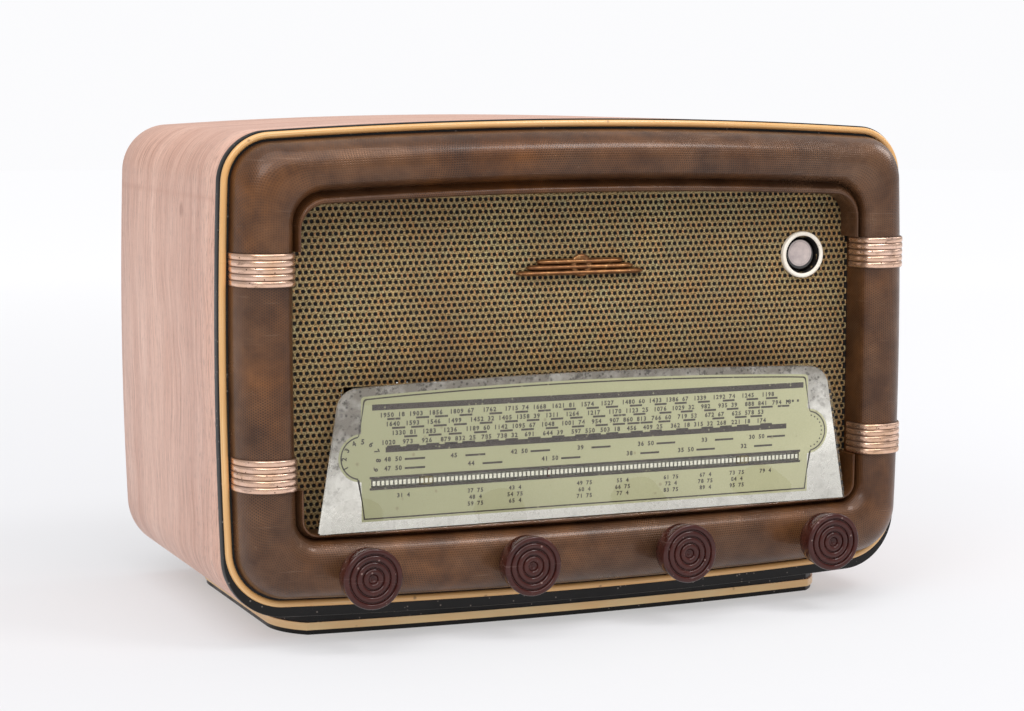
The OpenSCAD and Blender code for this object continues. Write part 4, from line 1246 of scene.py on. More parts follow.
class Finishes:
    """The set's finishes by what they are on."""

    veneer = Veneer("walnut_veneer")
    lacquer = Lacquer("black_lacquer")
    trim = TrimPlastic("cream_trim")
    # The plinth stripe gets a paler copy of the cream trim: painted light standing in for the light the floor
    # throws up under the cabinet's overhang.
    stripe = TrimPlastic("stripe_trim_painted_light", (252, 218, 162), (248, 188, 118))
    moulding = BronzeMoulding("bronze_moulding")
    ornament = Coating("bronze_ornament", (150, 104, 62), (106, 68, 42), (216, 176, 120), 120.0,
                       (0.28, 0.42), 0.75, 0.4, 0.04)
    clip = RoseMetal("rose_metal")
    weave = Weave("cord_weave")
    backing = Coating("dark_cloth", (22, 15, 11), (14, 9, 7), (38, 28, 20), 120.0, (0.8, 0.95),
                      relief=0.00008, relief_scale=1500.0)
    ivory = Coating("ivory_plastic", (252, 246, 234), (244, 232, 214), (172, 148, 120), 90.0, (0.3, 0.45),
                    0.0, 0.14, 0.06)
    glass = ClearGlass("dial_glass_clear")
    valve_glass = ClearGlass("valve_glass_clear", (226, 232, 230))
    panel = PrintedPanel("sage_panel")
    ink = Coating("dial_ink", (70, 60, 52), (54, 46, 40), (150, 144, 116), 300.0, (0.55, 0.65), 0.0, 0.3,
                  0.12)
    red_ink = Coating("pointer_red", (118, 62, 46), (96, 48, 36), (150, 96, 70), 200.0, (0.4, 0.5))
    pale_ink = Coating("scale_white", (226, 222, 204), (200, 196, 176), (140, 130, 110), 300.0, (0.5, 0.6),
                       0.0, 0.2)
    silver = Silvering("aged_silvering")
    bakelite = Coating("bakelite", (54, 21, 17), (68, 28, 22), (150, 124, 116), 70.0, (0.16, 0.3), 0.0, 0.1,
                       0.05, 0.00002, 500.0, coat=0.15, shine=0.3)
    steel = Coating("sheet_steel", (170, 170, 166), (142, 140, 134), (112, 92, 70), 34.0, (0.35, 0.5), 0.85,
                    0.16, 0.05, 0.00002, 600.0, (1, 6, 6))
    turned_steel = Coating("turned_steel", (180, 178, 172), (150, 148, 142), (110, 92, 74), 120.0,
                           (0.25, 0.4), 0.95)
    brass = Coating("turned_brass", (206, 164, 84), (168, 126, 62), (96, 70, 40), 110.0, (0.25, 0.42), 0.95,
                    0.2)
    aluminium = Coating("cast_aluminium", (196, 196, 194), (172, 172, 170), (130, 126, 118), 60.0,
                        (0.35, 0.5), 0.9)
    iron = Coating("transformer_iron", (74, 72, 70), (52, 50, 49), (120, 82, 54), 40.0, (0.5, 0.7), 0.6,
                   0.22, 0.06, 0.00012, 60.0, (1, 1, 26))
    housing = Coating("dark_housing", (56, 54, 52), (40, 38, 38), (110, 104, 96), 50.0, (0.4, 0.55), 0.2)
    white = Coating("white_paint", (232, 228, 216), (216, 210, 194), (150, 136, 112), 30.0, (0.5, 0.65),
                    0.0, 0.1)
    resin = Coating("laminate", (124, 78, 44), (98, 58, 32), (164, 122, 80), 60.0, (0.4, 0.55), 0.0, 0.1,
                    0.04, 0.00004, 900.0)
    pulley = Coating("pulley_resin", (92, 54, 36), (74, 42, 28), (140, 100, 70), 90.0, (0.35, 0.5))
    rubber = Coating("black_rubber", (34, 33, 32), (24, 23, 23), (84, 80, 74), 60.0, (0.7, 0.85))
    paper = Coating("paper_cone", (66, 58, 46), (50, 44, 36), (96, 84, 66), 140.0, (0.85, 0.95),
                    relief=0.00012, relief_scale=1300.0)
    fibre = Coating("fibreboard", (122, 86, 56), (98, 66, 42), (158, 124, 90), 22.0, (0.75, 0.9), 0.0, 0.2,
                    0.08, 0.00012, 1200.0)
    board = Timber("plain_board", (196, 160, 116), (160, 120, 80))
    linen = Coating("linen_cord", (182, 158, 118), (150, 126, 90), (110, 88, 60), 400.0, (0.8, 0.9),
                    relief=0.0001, relief_scale=2600.0)
    lamp = Coating("lamp_glass", (246, 232, 190), (230, 208, 150), (180, 150, 96), 200.0, (0.1, 0.2),
                   coat=0.5)


def dress(piece: Piece, finish: Finish) -> Piece:
    """Gives a piece one finish.

    Args:
        piece: Piece to dress.
        finish: Its finish.

    Returns:
        The same piece.
    """
    piece.data.materials.clear()
    piece.data.materials.append(finish.material())
    return piece


def centre_of(node: str) -> Flat:
    """X and Z of the middle of a node's box."""
    low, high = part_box(node)
    return ((low.x + high.x) / 2, (low.z + high.z) / 2)


def settle(piece: Piece, finish: Finish | None, slot: str, *nodes: str, body: str = "cabinet") -> Piece:
    """Dresses a piece, hides the CAD nodes it stands for and lets it ride on its body.

    Args:
        piece: Finished piece.
        finish: Its finish, or None where its mesh already has one.
        slot: Material slot of the record. Not used.
        nodes: CAD nodes it stands for.
        body: Body it rides on.

    Returns:
        The piece.
    """
    if finish is not None:
        dress(piece, finish)
    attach(piece, body)
    if nodes:
        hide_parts(*nodes)
    LOG.info("%s: %d faces on %s", piece.name, len(piece.data.polygons), body)
    return piece


# ---- geometry node trees


def run_tree(name: str, tree: Tree, values: dict[str, object]) -> Piece:
    """Runs a geometry tree once and keeps its result as a plain mesh.

    Args:
        name: Name of the piece.
        tree: Geometry tree.
        values: Value of each named input.

    Returns:
        The piece.
    """
    piece = place(name, bpy.data.meshes.new(name))
    work = piece.modifiers.new("tree", "NODES")
    work.node_group = tree
    sockets = {item.name: item.identifier for item in tree.interface.items_tree if item.in_out == "INPUT"}
    for label, value in values.items():
        work[sockets[label]] = value
    return fixed(piece)


def finish_tree(net: Net, start: Node, end: Node, geometry: Socket) -> None:
    """Ends a geometry tree with real geometry in the given material.

    Args:
        net: The tree's net.
        start: The tree's input node.
        end: The tree's output node.
        geometry: What the tree has made.
    """
    real = net.add("GeometryNodeRealizeInstances", {0: geometry})
    done = net.add("GeometryNodeSetMaterial", {"Geometry": real.outputs[0],
                                               "Material": start.outputs["Material"]})
    net.tree.links.new(done.outputs[0], end.inputs[0])


def weave_tree() -> Tree:
    """Tree that lays one woven cell over staggered rows and clears the hatch and the indicator.

    Returns:
        The tree.
    """
    inputs = {"Cell": (SHAPE, None), "Pitch": (VALUE, 0.00407), "Columns": (WHOLE, 100),
              "Rows": (WHOLE, 57), "Front": (VALUE, 0.0), "Middle": (VALUE, 0.0),
              "Hatch Half": (VALUE, 0.17), "Hatch Top": (VALUE, 0.16), "Eye X": (VALUE, 0.169),
              "Eye Z": (VALUE, 0.24), "Eye Radius": (VALUE, 0.0133), "Wander": (VALUE, 0.00022),
              "Material": (STUFF, None),}
    net, start, end = new_group("weave_rows", "GeometryNodeTree", inputs, GEOMETRY)
    take = start.outputs
    wide = net.times(take["Pitch"], net.less(take["Columns"], 1.0))
    high = net.times(take["Pitch"], net.less(take["Rows"], 1.0))
    grid = net.add("GeometryNodeMeshGrid", {"Size X": wide, "Size Y": high, "Vertices X": take["Columns"],
                                            "Vertices Y": take["Rows"]})
    here = net.split(net.add("GeometryNodeInputPosition").outputs[0])
    row = net.math("ROUND", net.math("DIVIDE", net.plus(here[1], net.times(high, 0.5)), take["Pitch"]))
    odd = net.times(net.math("MODULO", row, 2.0), net.times(take["Pitch"], 0.5))
    spot = net.merge(net.plus(here[0], odd), take["Front"], net.plus(here[1], take["Middle"]))
    laid = net.add("GeometryNodeSetPosition", {"Geometry": grid.outputs[0], "Position": spot})
    there = net.split(net.add("GeometryNodeInputPosition").outputs[0])
    inside = net.math("LESS_THAN", net.math("ABSOLUTE", there[0]), take["Hatch Half"])
    under = net.math("LESS_THAN", there[2], take["Hatch Top"])
    dx = net.less(there[0], take["Eye X"])
    dz = net.less(there[2], take["Eye Z"])
    away = net.away(dx, dz)
    near = net.math("LESS_THAN", away, net.less(take["Eye Radius"], net.times(take["Pitch"], 0.3)))
    gone = net.most(net.times(inside, under), near)
    kept = net.add("GeometryNodeDeleteGeometry", {"Geometry": laid.outputs[0], "Selection": gone},
                   domain="POINT")
    cell = net.add("GeometryNodeObjectInfo", {"Object": take["Cell"]})
    cells = net.add("GeometryNodeInstanceOnPoints", {"Points": kept.outputs[0],
                                                     "Instance": cell.outputs["Geometry"]})
    real = net.add("GeometryNodeRealizeInstances", {0: cells.outputs[0]})
    sewn = net.add("GeometryNodeMergeByDistance", {"Geometry": real.outputs[0], "Distance": 0.00003})
    place_ = net.add("GeometryNodeInputPosition").outputs[0]
    cloud = net.add("ShaderNodeTexNoise", {"Vector": place_, "Scale": 210.0, "Detail": 2.0}).outputs[1]
    sway = net.add("ShaderNodeVectorMath", {0: cloud, 1: (0.5, 0.5, 0.5)}, operation="SUBTRACT").outputs[0]
    wide_sway = net.times(take["Wander"], 4.0)
    reach = net.merge(wide_sway, take["Wander"], wide_sway)
    move = net.add("ShaderNodeVectorMath", {0: sway, 1: reach}, operation="MULTIPLY").outputs[0]
    moved = net.add("GeometryNodeSetPosition", {"Geometry": sewn.outputs[0], "Offset": move})
    finish_tree(net, start, end, moved.outputs[0])
    return net.tree


def row_tree(name: str) -> Tree:
    """Tree that repeats one shape along X at an even pitch.

    Args:
        name: Name of the tree.

    Returns:
        The tree.
    """
    inputs = {"Shape": (SHAPE, None), "Count": (WHOLE, 10), "Pitch": (VALUE, 0.003),
              "Start X": (VALUE, 0.0), "Start Y": (VALUE, 0.0), "Start Z": (VALUE, 0.0),
              "Material": (STUFF, None)}
    net, start, end = new_group(name, "GeometryNodeTree", inputs, GEOMETRY)
    take = start.outputs
    first = net.merge(take["Start X"], take["Start Y"], take["Start Z"])
    line = net.add("GeometryNodeMeshLine", {"Count": take["Count"], "Start Location": first,
                                            "Offset": net.merge(take["Pitch"])})
    shape = net.add("GeometryNodeObjectInfo", {"Object": take["Shape"]})
    row = net.add("GeometryNodeInstanceOnPoints", {"Points": line.outputs[0],
                                                   "Instance": shape.outputs["Geometry"]})
    finish_tree(net, start, end, row.outputs[0])
    return net.tree


def point_tree(name: str) -> Tree:
    """Tree that sets one shape on each point of a guide, turned about Y by chance with a fixed seed.

    Args:
        name: Name of the tree.

    Returns:
        The tree.
    """
    inputs = {"Shape": (SHAPE, None), "Guide": (SHAPE, None),
              "Seed": (WHOLE, 7), "Material": (STUFF, None)}
    net, start, end = new_group(name, "GeometryNodeTree", inputs, GEOMETRY)
    take = start.outputs
    guide = net.add("GeometryNodeObjectInfo", {"Object": take["Guide"]})
    shape = net.add("GeometryNodeObjectInfo", {"Object": take["Shape"]})
    chance = net.add("FunctionNodeRandomValue", {"Seed": take["Seed"]}, data_type="FLOAT")
    spin = net.add("FunctionNodeEulerToRotation", {0: net.merge(0.0, net.times(chance.outputs[1], 3.0))})
    row = net.add("GeometryNodeInstanceOnPoints", {"Points": guide.outputs["Geometry"],
                                                   "Instance": shape.outputs["Geometry"],
                                                   "Rotation": spin.outputs[0]})
    finish_tree(net, start, end, row.outputs[0])
    return net.tree


# ---- the set's parts


@dataclass
class Body:
    """Sizes of the cabinet that its parts share, read from the model."""

    low_arch: float = 5 * MM
    high_arch: float = 8.7 * MM
    bulge: float = 4.3 * MM
    low_r: float = 40 * MM
    high_r: float = 34 * MM
    bow: float = 8 * MM
    trim_w: float = 5.3 * MM
    trim_gap: float = 1.5 * MM
    frame_w: float = 12 * MM
    sill_w: float = 42.2 * MM
    lip_bottom: float = 4.5 * MM
    head_w: float = 32.7 * MM
    lip_top: float = 8.5 * MM
    lip_side: float = 5 * MM
    opening_half: float = 206 * MM
    shell: Outline = field(init=False)
    front: Outline = field(init=False)
    moulding: Outline = field(init=False)
    sill: Outline = field(init=False)
    lip: Outline = field(init=False)

    def __post_init__(self) -> None:
        """Reads the model's boxes and rules the outlines."""
        wood_low, wood_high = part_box("wood_shell")
        trim_low, trim_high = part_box("trim_piping")
        self.half = wood_high.x
        self.wood_front, self.rear = wood_low.y, wood_high.y
        self.low, self.high, self.floor = trim_low.z, trim_high.z, wood_low.z
        self.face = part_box("front_frame")[0].y
        self.cloth, self.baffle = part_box("grille_cloth")[0].y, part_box("baffle_board")[0].y
        self.bow_r = (self.half**2 + self.bow**2) / (2 * self.bow)
        self.crown = self.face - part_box("bezel_top")[0].y
        rule = (self.low_arch, self.high_arch, self.bulge, self.low_r, self.high_r)
        self.shell = Outline.ruled(self.half, self.floor, self.high, *rule)
        self.front = Outline.ruled(self.half, self.low, self.high, *rule)
        self.moulding = self.front.inset(self.trim_w + self.trim_gap)
        edge = self.trim_w + self.trim_gap
        z_sill, z_head = self.low + edge + self.sill_w, self.high - edge - self.head_w
        self.sill = Outline.ruled(self.opening_half, z_sill, z_head, MM, 6 * MM, MM, 14 * MM, 22 * MM)
        self.lip = Outline.ruled(self.opening_half - self.lip_side, z_sill + self.lip_bottom,
                                 z_head - self.lip_top, 0.6 * MM, 5.5 * MM, MM, 9 * MM, 17 * MM)

    def face_y(self, x: float) -> float:
        """Y of the bowed front at x."""
        return self.face + self.bow_r - sqrt(self.bow_r**2 - x * x)


@dataclass
class Cabinet:
    """Wooden shell, black front frame and cream trim."""

    body: Body
    wood_t: float = 10 * MM
    edge: float = 0.9 * MM
    trim_h: float = 2.8 * MM
    trim_from: float = 0.16

    def build(self) -> None:
        """Builds the three pieces."""
        settle(self.shell(), Finishes.veneer, "walnut_veneer", "wood_shell")
        settle(self.frame(), Finishes.lacquer, "black_lacquer", "front_frame")
        settle(self.trim(), Finishes.trim, "cream_trim", "trim_piping")

    def swept(self, name: str, line: list[tuple[float, float]], outline: Outline) -> Piece:
        """A closed section of inset and Y carried round an outline.

        Args:
            name: Name of the piece.
            line: Inset and Y of each point of the section.
            outline: Outline to follow.

        Returns:
            The piece.
        """
        rings = [outline.inset(gap).ring() for gap, _ in line]
        rows = [[(rings[j][i][0], line[j][1], rings[j][i][1]) for j in range(len(line))]
                for i in range(len(rings[0]))]
        return loft(name, rows, ring=True)

    def shell(self) -> Piece:
        """The shell, with rounded outer edges.

        Returns:
            The piece.
        """
        e, front, rear = self.edge, self.body.wood_front, self.body.rear
        depth = [front + e + (rear - front - 2 * e) * k / 8 for k in range(9)]
        line = ([(e, front), (0.3 * e, front + 0.3 * e)] + [(0, y) for y in depth]
                + [(0.3 * e, rear - 0.3 * e), (e, rear), (self.wood_t, rear), (self.wood_t, front)])
        return self.swept("Wood_shell", line, self.body.shell)

    def frame(self) -> Piece:
        """The lacquered frame, between the shell's outline and the baffle.

        Returns:
            The piece.
        """
        outer, inner = self.body.shell.ring(), self.body.front.inset(self.body.frame_w).ring()
        rows = []
        for a, b in zip(outer, inner):
            near = blend(a, b, 0.02)
            soft = blend(a, b, 0.08)
            rows.append([(a[0], self.body.wood_front, a[1]), (a[0], self.body.face_y(a[0]) + 0.7 * MM,
                                                              a[1]),
                         (near[0], self.body.face_y(near[0]) + 0.2 * MM, near[1]),
                         (soft[0], self.body.face_y(soft[0]), soft[1]),
                         (b[0], self.body.face_y(b[0]), b[1]), (b[0], self.body.wood_front, b[1])])
        return loft("Front_frame", rows, ring=True)

    def trim(self) -> Piece:
        """The rounded trim line.

        Returns:
            The piece.
        """
        outer, inner = self.body.front.ring(), self.body.front.inset(self.body.trim_w).ring()
        crown = [(0.0, 0.0), (0.0, 0.3)] + [
            (0.5 - 0.5 * cos(a), 0.3 + 0.7 * sin(a)) for a in (pi * k / 12 for k in range(1, 12))
        ] + [(1.0, 0.3), (1.0, 0.0)]
        rows = []
        for a, b in zip(outer, inner):
            spots = [blend(a, b, self.trim_from + (1 - self.trim_from) * share) for share, _ in crown]
            rows.append([(p[0], self.body.face_y(p[0]) - rise * self.trim_h, p[1])
                         for p, (_, rise) in zip(spots, crown)])
        return loft("Trim_line", rows, ring=True)


@dataclass
class Moulding:
    """Bronze moulding in four lengths, with four ribbed clips over its joints."""

    body: Body
    ribs: int = 5
    clip_h: float = 21.5 * MM
    # Width and strength of the painted shade in the grooves between the ribs.
    groove_w: float = 0.17
    groove_tone: float = 0.85
    drill_lead: float = 60 * MM
    skin: float = 1.3 * MM
    rib_h: float = 0.9 * MM
    shaft_hole: float = 7 * MM
    crown_line: tuple[Flat, ...] = ((0.0, 0.01), (0.015, 0.25), (0.06, 0.49), (0.14, 0.71), (0.25, 0.87),
                                    (0.38, 0.963), (0.52, 1.0), (0.68, 0.993), (0.82, 0.942), (0.92, 0.833),
                                    (0.98, 0.69))
    lip_line: tuple[Flat, ...] = ((1.05, 0.5), (1.35, 0.62), (1.6, 0.72), (1.85, 0.74), (2.0, 0.68))

    def build(self) -> None:
        """Builds the lengths and the clips."""
        column = [corner.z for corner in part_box("bezel_left")]
        upper = self.length("Moulding_top", self.ends(True), True)
        settle(upper, Finishes.moulding, "bronze_moulding", "bezel_top")
        lower = self.length("Moulding_bottom", self.ends(False), True)
        holes = [centre_of(node) for node in Knobs.nodes]
        drilled(lower, holes, self.shaft_hole, self.body.face - self.drill_lead, self.body.baffle)
        settle(lower, Finishes.moulding, "bronze_moulding", "bezel_bottom")
        for side, node in ((-1, "bezel_left"), (1, "bezel_right")):
            lines = [[(side * x, z) for x, z in line.side_line(*column, 40)]
                     for line in (self.body.moulding, self.body.sill, self.body.sill)]
            piece = self.length(f"Moulding_{node.split('_')[1]}", lines, False)
            settle(piece, Finishes.moulding, "bronze_moulding", node)
        settle(self.clips(), Finishes.clip, "clip_metal", "bezel_clips")

    def clips(self) -> Piece:
        """The four clips, with painted shade for their grooves as a value of the mesh.

        Returns:
            The piece.
        """
        low, high = (corner.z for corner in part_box("bezel_clips"))
        feet = (low, high - self.clip_h)
        piece = joined("Ribbed_clips", [self.clip(side, z, self.clip_h) for side in (-1, 1) for z in feet])
        # Painted shade for the grooves: strongest in the middle of each groove, none on the ribs.
        grooves = piece.data.attributes.new("groove", "FLOAT", "POINT")
        pitch, groove_shade_levels = self.clip_h / self.ribs, []
        for vertex in piece.data.vertices:
            ribs = (vertex.co.z - feet[vertex.co.z > (low + high) / 2]) / pitch
            groove_shade_levels.append(max(0.0, 1 - abs(ribs - round(ribs)) / self.groove_w) * self.groove_tone)
        grooves.data.foreach_set("value", groove_shade_levels)
        return piece

    def ends(self, upper: bool) -> list[Line]:
        """The outer, body and lip lines of the top or the bottom length."""
        z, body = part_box("bezel_top")[0].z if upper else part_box("bezel_bottom")[1].z, self.body
        return [mirrored(line.half_line(z, upper)) for line in (body.moulding, body.sill, body.lip)]

    def length(self, name: str, lines: list[Line], lip: bool) -> Piece:
        """One length of the moulding, skinned along its lines.

        Args:
            name: Name of the piece.
            lines: Outer, body and lip lines.
            lip: The length has an inner lip.

        Returns:
            The piece.
        """
        crown, seat = self.body.crown, self.body.cloth - 0.1 * MM
        points = list(self.crown_line) + (list(self.lip_line) if lip else [(1.0, 0.5)])
        line = rounded(points, 3)
        rows = []
        for o, b, i in zip(*lines):
            row = []
            for t, rise in line:
                x, z = blend(o, b, t) if t <= 1 else blend(b, i, t - 1)
                row.append((x, self.body.face_y(x) - rise * crown, z))
            last, foot = (i if lip else b), blend(o, b, 0.2)
            row += [(last[0], seat, last[1]), (foot[0], seat, foot[1]),
                    (foot[0], self.body.face_y(foot[0]) - 0.1 * MM, foot[1])]
            rows.append(row)
        return loft(name, rows)

    def clip(self, side: int, foot: float, tall: float) -> Piece:
        """One clip: a thin skin that follows the column, with rounded ribs.

        Args:
            side: 1 for the right column, -1 for the left.
            foot: Height of its lower edge.
            tall: Its height.

        Returns:
            The clip.
        """
        line = rounded(list(self.crown_line[1:]), 3)
        middle = foot + tall / 2
        o = self.body.moulding.side_line(middle, middle + MM, 1)[0][0]
        b = self.body.sill.side_line(middle, middle + MM, 1)[0][0]

        def chain(z: float, lift: float) -> list[Solid]:
            """The skin's outer or inner line at a height.

            Args:
                z: Height of the line.
                lift: Distance from the moulding.

            Returns:
                Its points.
            """
            found = [(o + lift * 0.2, self.body.face_y(o) - MM, z)]
            for t, rise in line:
                x = o + t * (b - o)
                out = 0.6 - t * 2 if t < 0.3 else -0.6 * min(1.0, (t - 0.8) / 0.1) if t > 0.8 else 0.0
                found.append((x + lift * out, self.body.face_y(x) - rise * self.body.crown - lift, z))
            found += [(b - lift, self.body.face_y(b) - 0.5 * self.body.crown, z),
                      (b - lift, self.body.cloth - 6 * MM, z)]
            return [(side * x, y, z_) for x, y, z_ in found]

        rows, steps = [], 10
        for k in range(self.ribs * steps + 1):
            share = (k % steps) / steps
            dome = sqrt(max(0.0, 1 - ((2 * share - 1) / 0.93) ** 2)) if k % steps else 0.0
            z = foot + tall * k / (self.ribs * steps)
            edge = 0.35 if k in (0, self.ribs * steps) else 0.0
            rows.append(chain(z, self.skin + (dome - edge) * self.rib_h) + chain(z, 0.3 * MM)[::-1])
        return loft("clip", rows, sharp=60)


@dataclass
class Grille:
    """Woven grille with its dark backing and the fluted ornament."""

    body: Body
    pitch: float = 4.07 * MM
    hole: float = 1.38 * MM
    deep: float = 0.75 * MM
    boss_rise: float = 0.4 * MM
    hatch_half: float = 170 * MM
    eye_hole: float = 12.75 * MM
    eye_clear: float = 15.2 * MM
    wander: float = 0.13 * MM

    def build(self) -> None:
        """Builds backing, weave and ornament."""
        self.eye = centre_of("eye_ring")
        plate_low, plate_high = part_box("dial_backplate")
        self.hatch = (plate_low.z - 2 * MM, plate_high.z + 8 * MM)
        hole = [(-self.hatch_half, self.hatch[0]), (self.hatch_half, self.hatch[0]),
                (self.hatch_half, self.hatch[1]), (-self.hatch_half, self.hatch[1])]
        ring = self.body.front.inset(self.body.frame_w + 5 * MM).ring()
        y = self.body.baffle - 0.2 * MM
        eye = arc(self.eye, self.eye_hole, 0, 6.2, 40)
        backing = place("Grille_backing", outline_mesh("backing", [ring, hole, eye], y, y))
        weave = self.weave()
        settle(weave, None, "grille_weave")
        settle(backing, Finishes.backing, "grille_weave", "grille_cloth")
        settle(self.ornament(), Finishes.ornament, "bronze_moulding", "trim_bar")

    def cell(self) -> Piece:
        """One woven cell: square edge, shoulder, hole and the hole's wall, with painted shade as a value of
        the mesh.

        Returns:
            The piece.
        """
        p, r = self.pitch / 2, self.hole
        turns = [pi / 4 * k for k in range(8)]
        square = [(p * max(-1, min(1, round(cos(a) * 1.2))), p * max(-1, min(1, round(sin(a) * 1.2))))
                  for a in turns]
        rings = [
            ([(x, 0.34 * MM if k % 4 else 0.0, z) for k, (x, z) in enumerate(square)],
             [0.0 if k % 4 == 0 else 0.3 for k in range(8)]),
            ([(x * 0.5 + 0.5 * r * cos(a), 0.28 * MM, z * 0.5 + 0.5 * r * sin(a))
              for (x, z), a in zip(square, turns)], [0.0] * 8),
            ([(r * cos(a), 0.52 * MM, r * sin(a)) for a in turns], [0.7] * 8),
            ([(r * 0.94 * cos(a), self.deep + 0.1 * MM, r * 0.94 * sin(a)) for a in turns], [1.0] * 8),
        ]
        points = [point for ring, _ in rings for point in ring]
        faces = [(i * 8 + j, i * 8 + (j + 1) % 8, (i + 1) * 8 + (j + 1) % 8, (i + 1) * 8 + j)
                 for i in range(3) for j in range(8)]
        mesh = skin("cell", points, faces)
        mesh.shade_smooth()
        thread = mesh.attributes.new("thread", "FLOAT", "POINT")
        thread.data.foreach_set("value", [1.0 if i == 0 and k % 4 == 0 else 0.35
                                          if i == 1 and k % 4 == 0 else 0.0 for i in range(4)
                                          for k in range(8)])
        # Painted shade, from none on the strands to full at the bottom of the hole's wall.
        hollow_shade = mesh.attributes.new("hollow_shade", "FLOAT", "POINT")
        hollow_shade.data.foreach_set("value", [dark for _, hollow_shade_levels in rings for dark in hollow_shade_levels])
        return place("cell", mesh)

    def weave(self) -> Piece:
        """The weave as real geometry, laid by its tree.

        Returns:
            The piece.
        """
        sill, cell = self.body.sill, self.cell()
        lip_low, lip_high = sill.foot[1] - sill.foot_r, sill.top[1] + sill.top_r
        rows = int((lip_high - lip_low - 2 * MM) / self.pitch)
        columns = int(2 * (self.body.opening_half - 2 * MM) / self.pitch)
        piece = run_tree("Grille_weave", weave_tree(), {
            "Cell": cell, "Pitch": self.pitch, "Columns": columns, "Rows": rows, "Front": self.body.cloth,
            "Middle": (lip_low + lip_high) / 2, "Hatch Half": self.hatch_half - 2 * MM,
            "Hatch Top": self.hatch[1] - 3 * MM, "Eye X": self.eye[0], "Eye Z": self.eye[1],
            "Eye Radius": self.eye_clear, "Wander": self.wander, "Material": Finishes.weave.material()})
        bpy.data.objects.remove(cell)
        return piece

    def ornament(self) -> Piece:
        """Three tapering flutes with a plain ring boss in the middle.

        Returns:
            The piece.
        """
        low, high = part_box("trim_bar")
        centre, middle = centre_of("trim_bar")
        parts, reach = [], (high.x - low.x) / 2
        for k, half in ((-1, reach), (0, reach * 0.84), (1, reach * 0.68)):
            rows = []
            for step in range(41):
                share = step / 20 - 1
                r = 1.9 * MM * (1 - abs(share) ** 12) ** 0.5 + 0.05 * MM
                z0 = middle + (k * 3.7 - 0.6) * MM
                rows.append([(centre + share * half, self.body.cloth - 0.9 * MM - 2.2 * r * sin(a),
                              z0 + r * cos(a)) for a in (pi * j / 10 for j in range(11))])
            parts.append(loft("flute", rows))
        ring = [(5.6 * MM + 2.2 * MM * cos(a), self.body.cloth - 2.6 * MM + 1.9 * MM * sin(a))
                for a in (2 * pi * k / 16 for k in range(16))]
        parts.append(lathe("ring", ring, (centre, middle + self.boss_rise), 48, closed=True))
        return joined("Fluted_ornament", parts)


@dataclass
class Indicator:
    """Tuning indicator: pale ring, dark well and the end of its tube."""

    ring_w: float = 2.9 * MM
    well: float = 0.35 * MM
    wall: float = 1.6 * MM
    soft: float = 2.2 * MM
    neck: float = 62 * MM
    target_r: float = 9.4 * MM

    def build(self) -> None:
        """Builds the three pieces."""
        low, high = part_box("eye_ring")
        centre = centre_of("eye_ring")
        outer, front, back = (high.x - low.x) / 2, low.y, high.y
        inner = outer - self.ring_w
        bead = [(inner + (outer - inner) * (0.5 - 0.5 * cos(a)), front + 1.1 * MM * (1 - sin(a)))
                for a in (pi * k / 14 for k in range(15))]
        ring = lathe("Indicator_ring", [(inner, back)] + bead + [(outer, back)], centre, closed=True)
        settle(ring, Finishes.ivory, "ivory_plastic", "eye_ring")
        sleeve = [(inner - 0.02 * MM, front + 1.3 * MM), (inner - self.well, front + 1.5 * MM),
                  (inner - self.well, back + 9 * MM), (inner - 0.02 * MM, back + 9 * MM)]
        settle(lathe("Indicator_well", sleeve, centre, closed=True), Finishes.backing, "rubber_black")
        tube_low, tube_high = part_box("eye_tube")
        r, y = (tube_high.x - tube_low.x) / 2 - self.wall, tube_low.y
        flat, base = r - self.soft, y + self.neck
        end = [(0, y), (flat, y)] + [
            (flat + self.soft * sin(a), y + self.soft * (1 - cos(a)))
            for a in (pi / 2 * k / 8 for k in range(1, 9))]
        tail = [(r, base), (r + self.wall, base), (r + self.wall, tube_high.y), (0, tube_high.y)]
        face = Phosphor("indicator_face", (centre[0] - 0.6 * MM, centre[1] + 0.9 * MM), self.target_r)
        settle(lathe("Indicator_tube", end + tail, centre), face, "dark_tube_glass", "eye_tube")


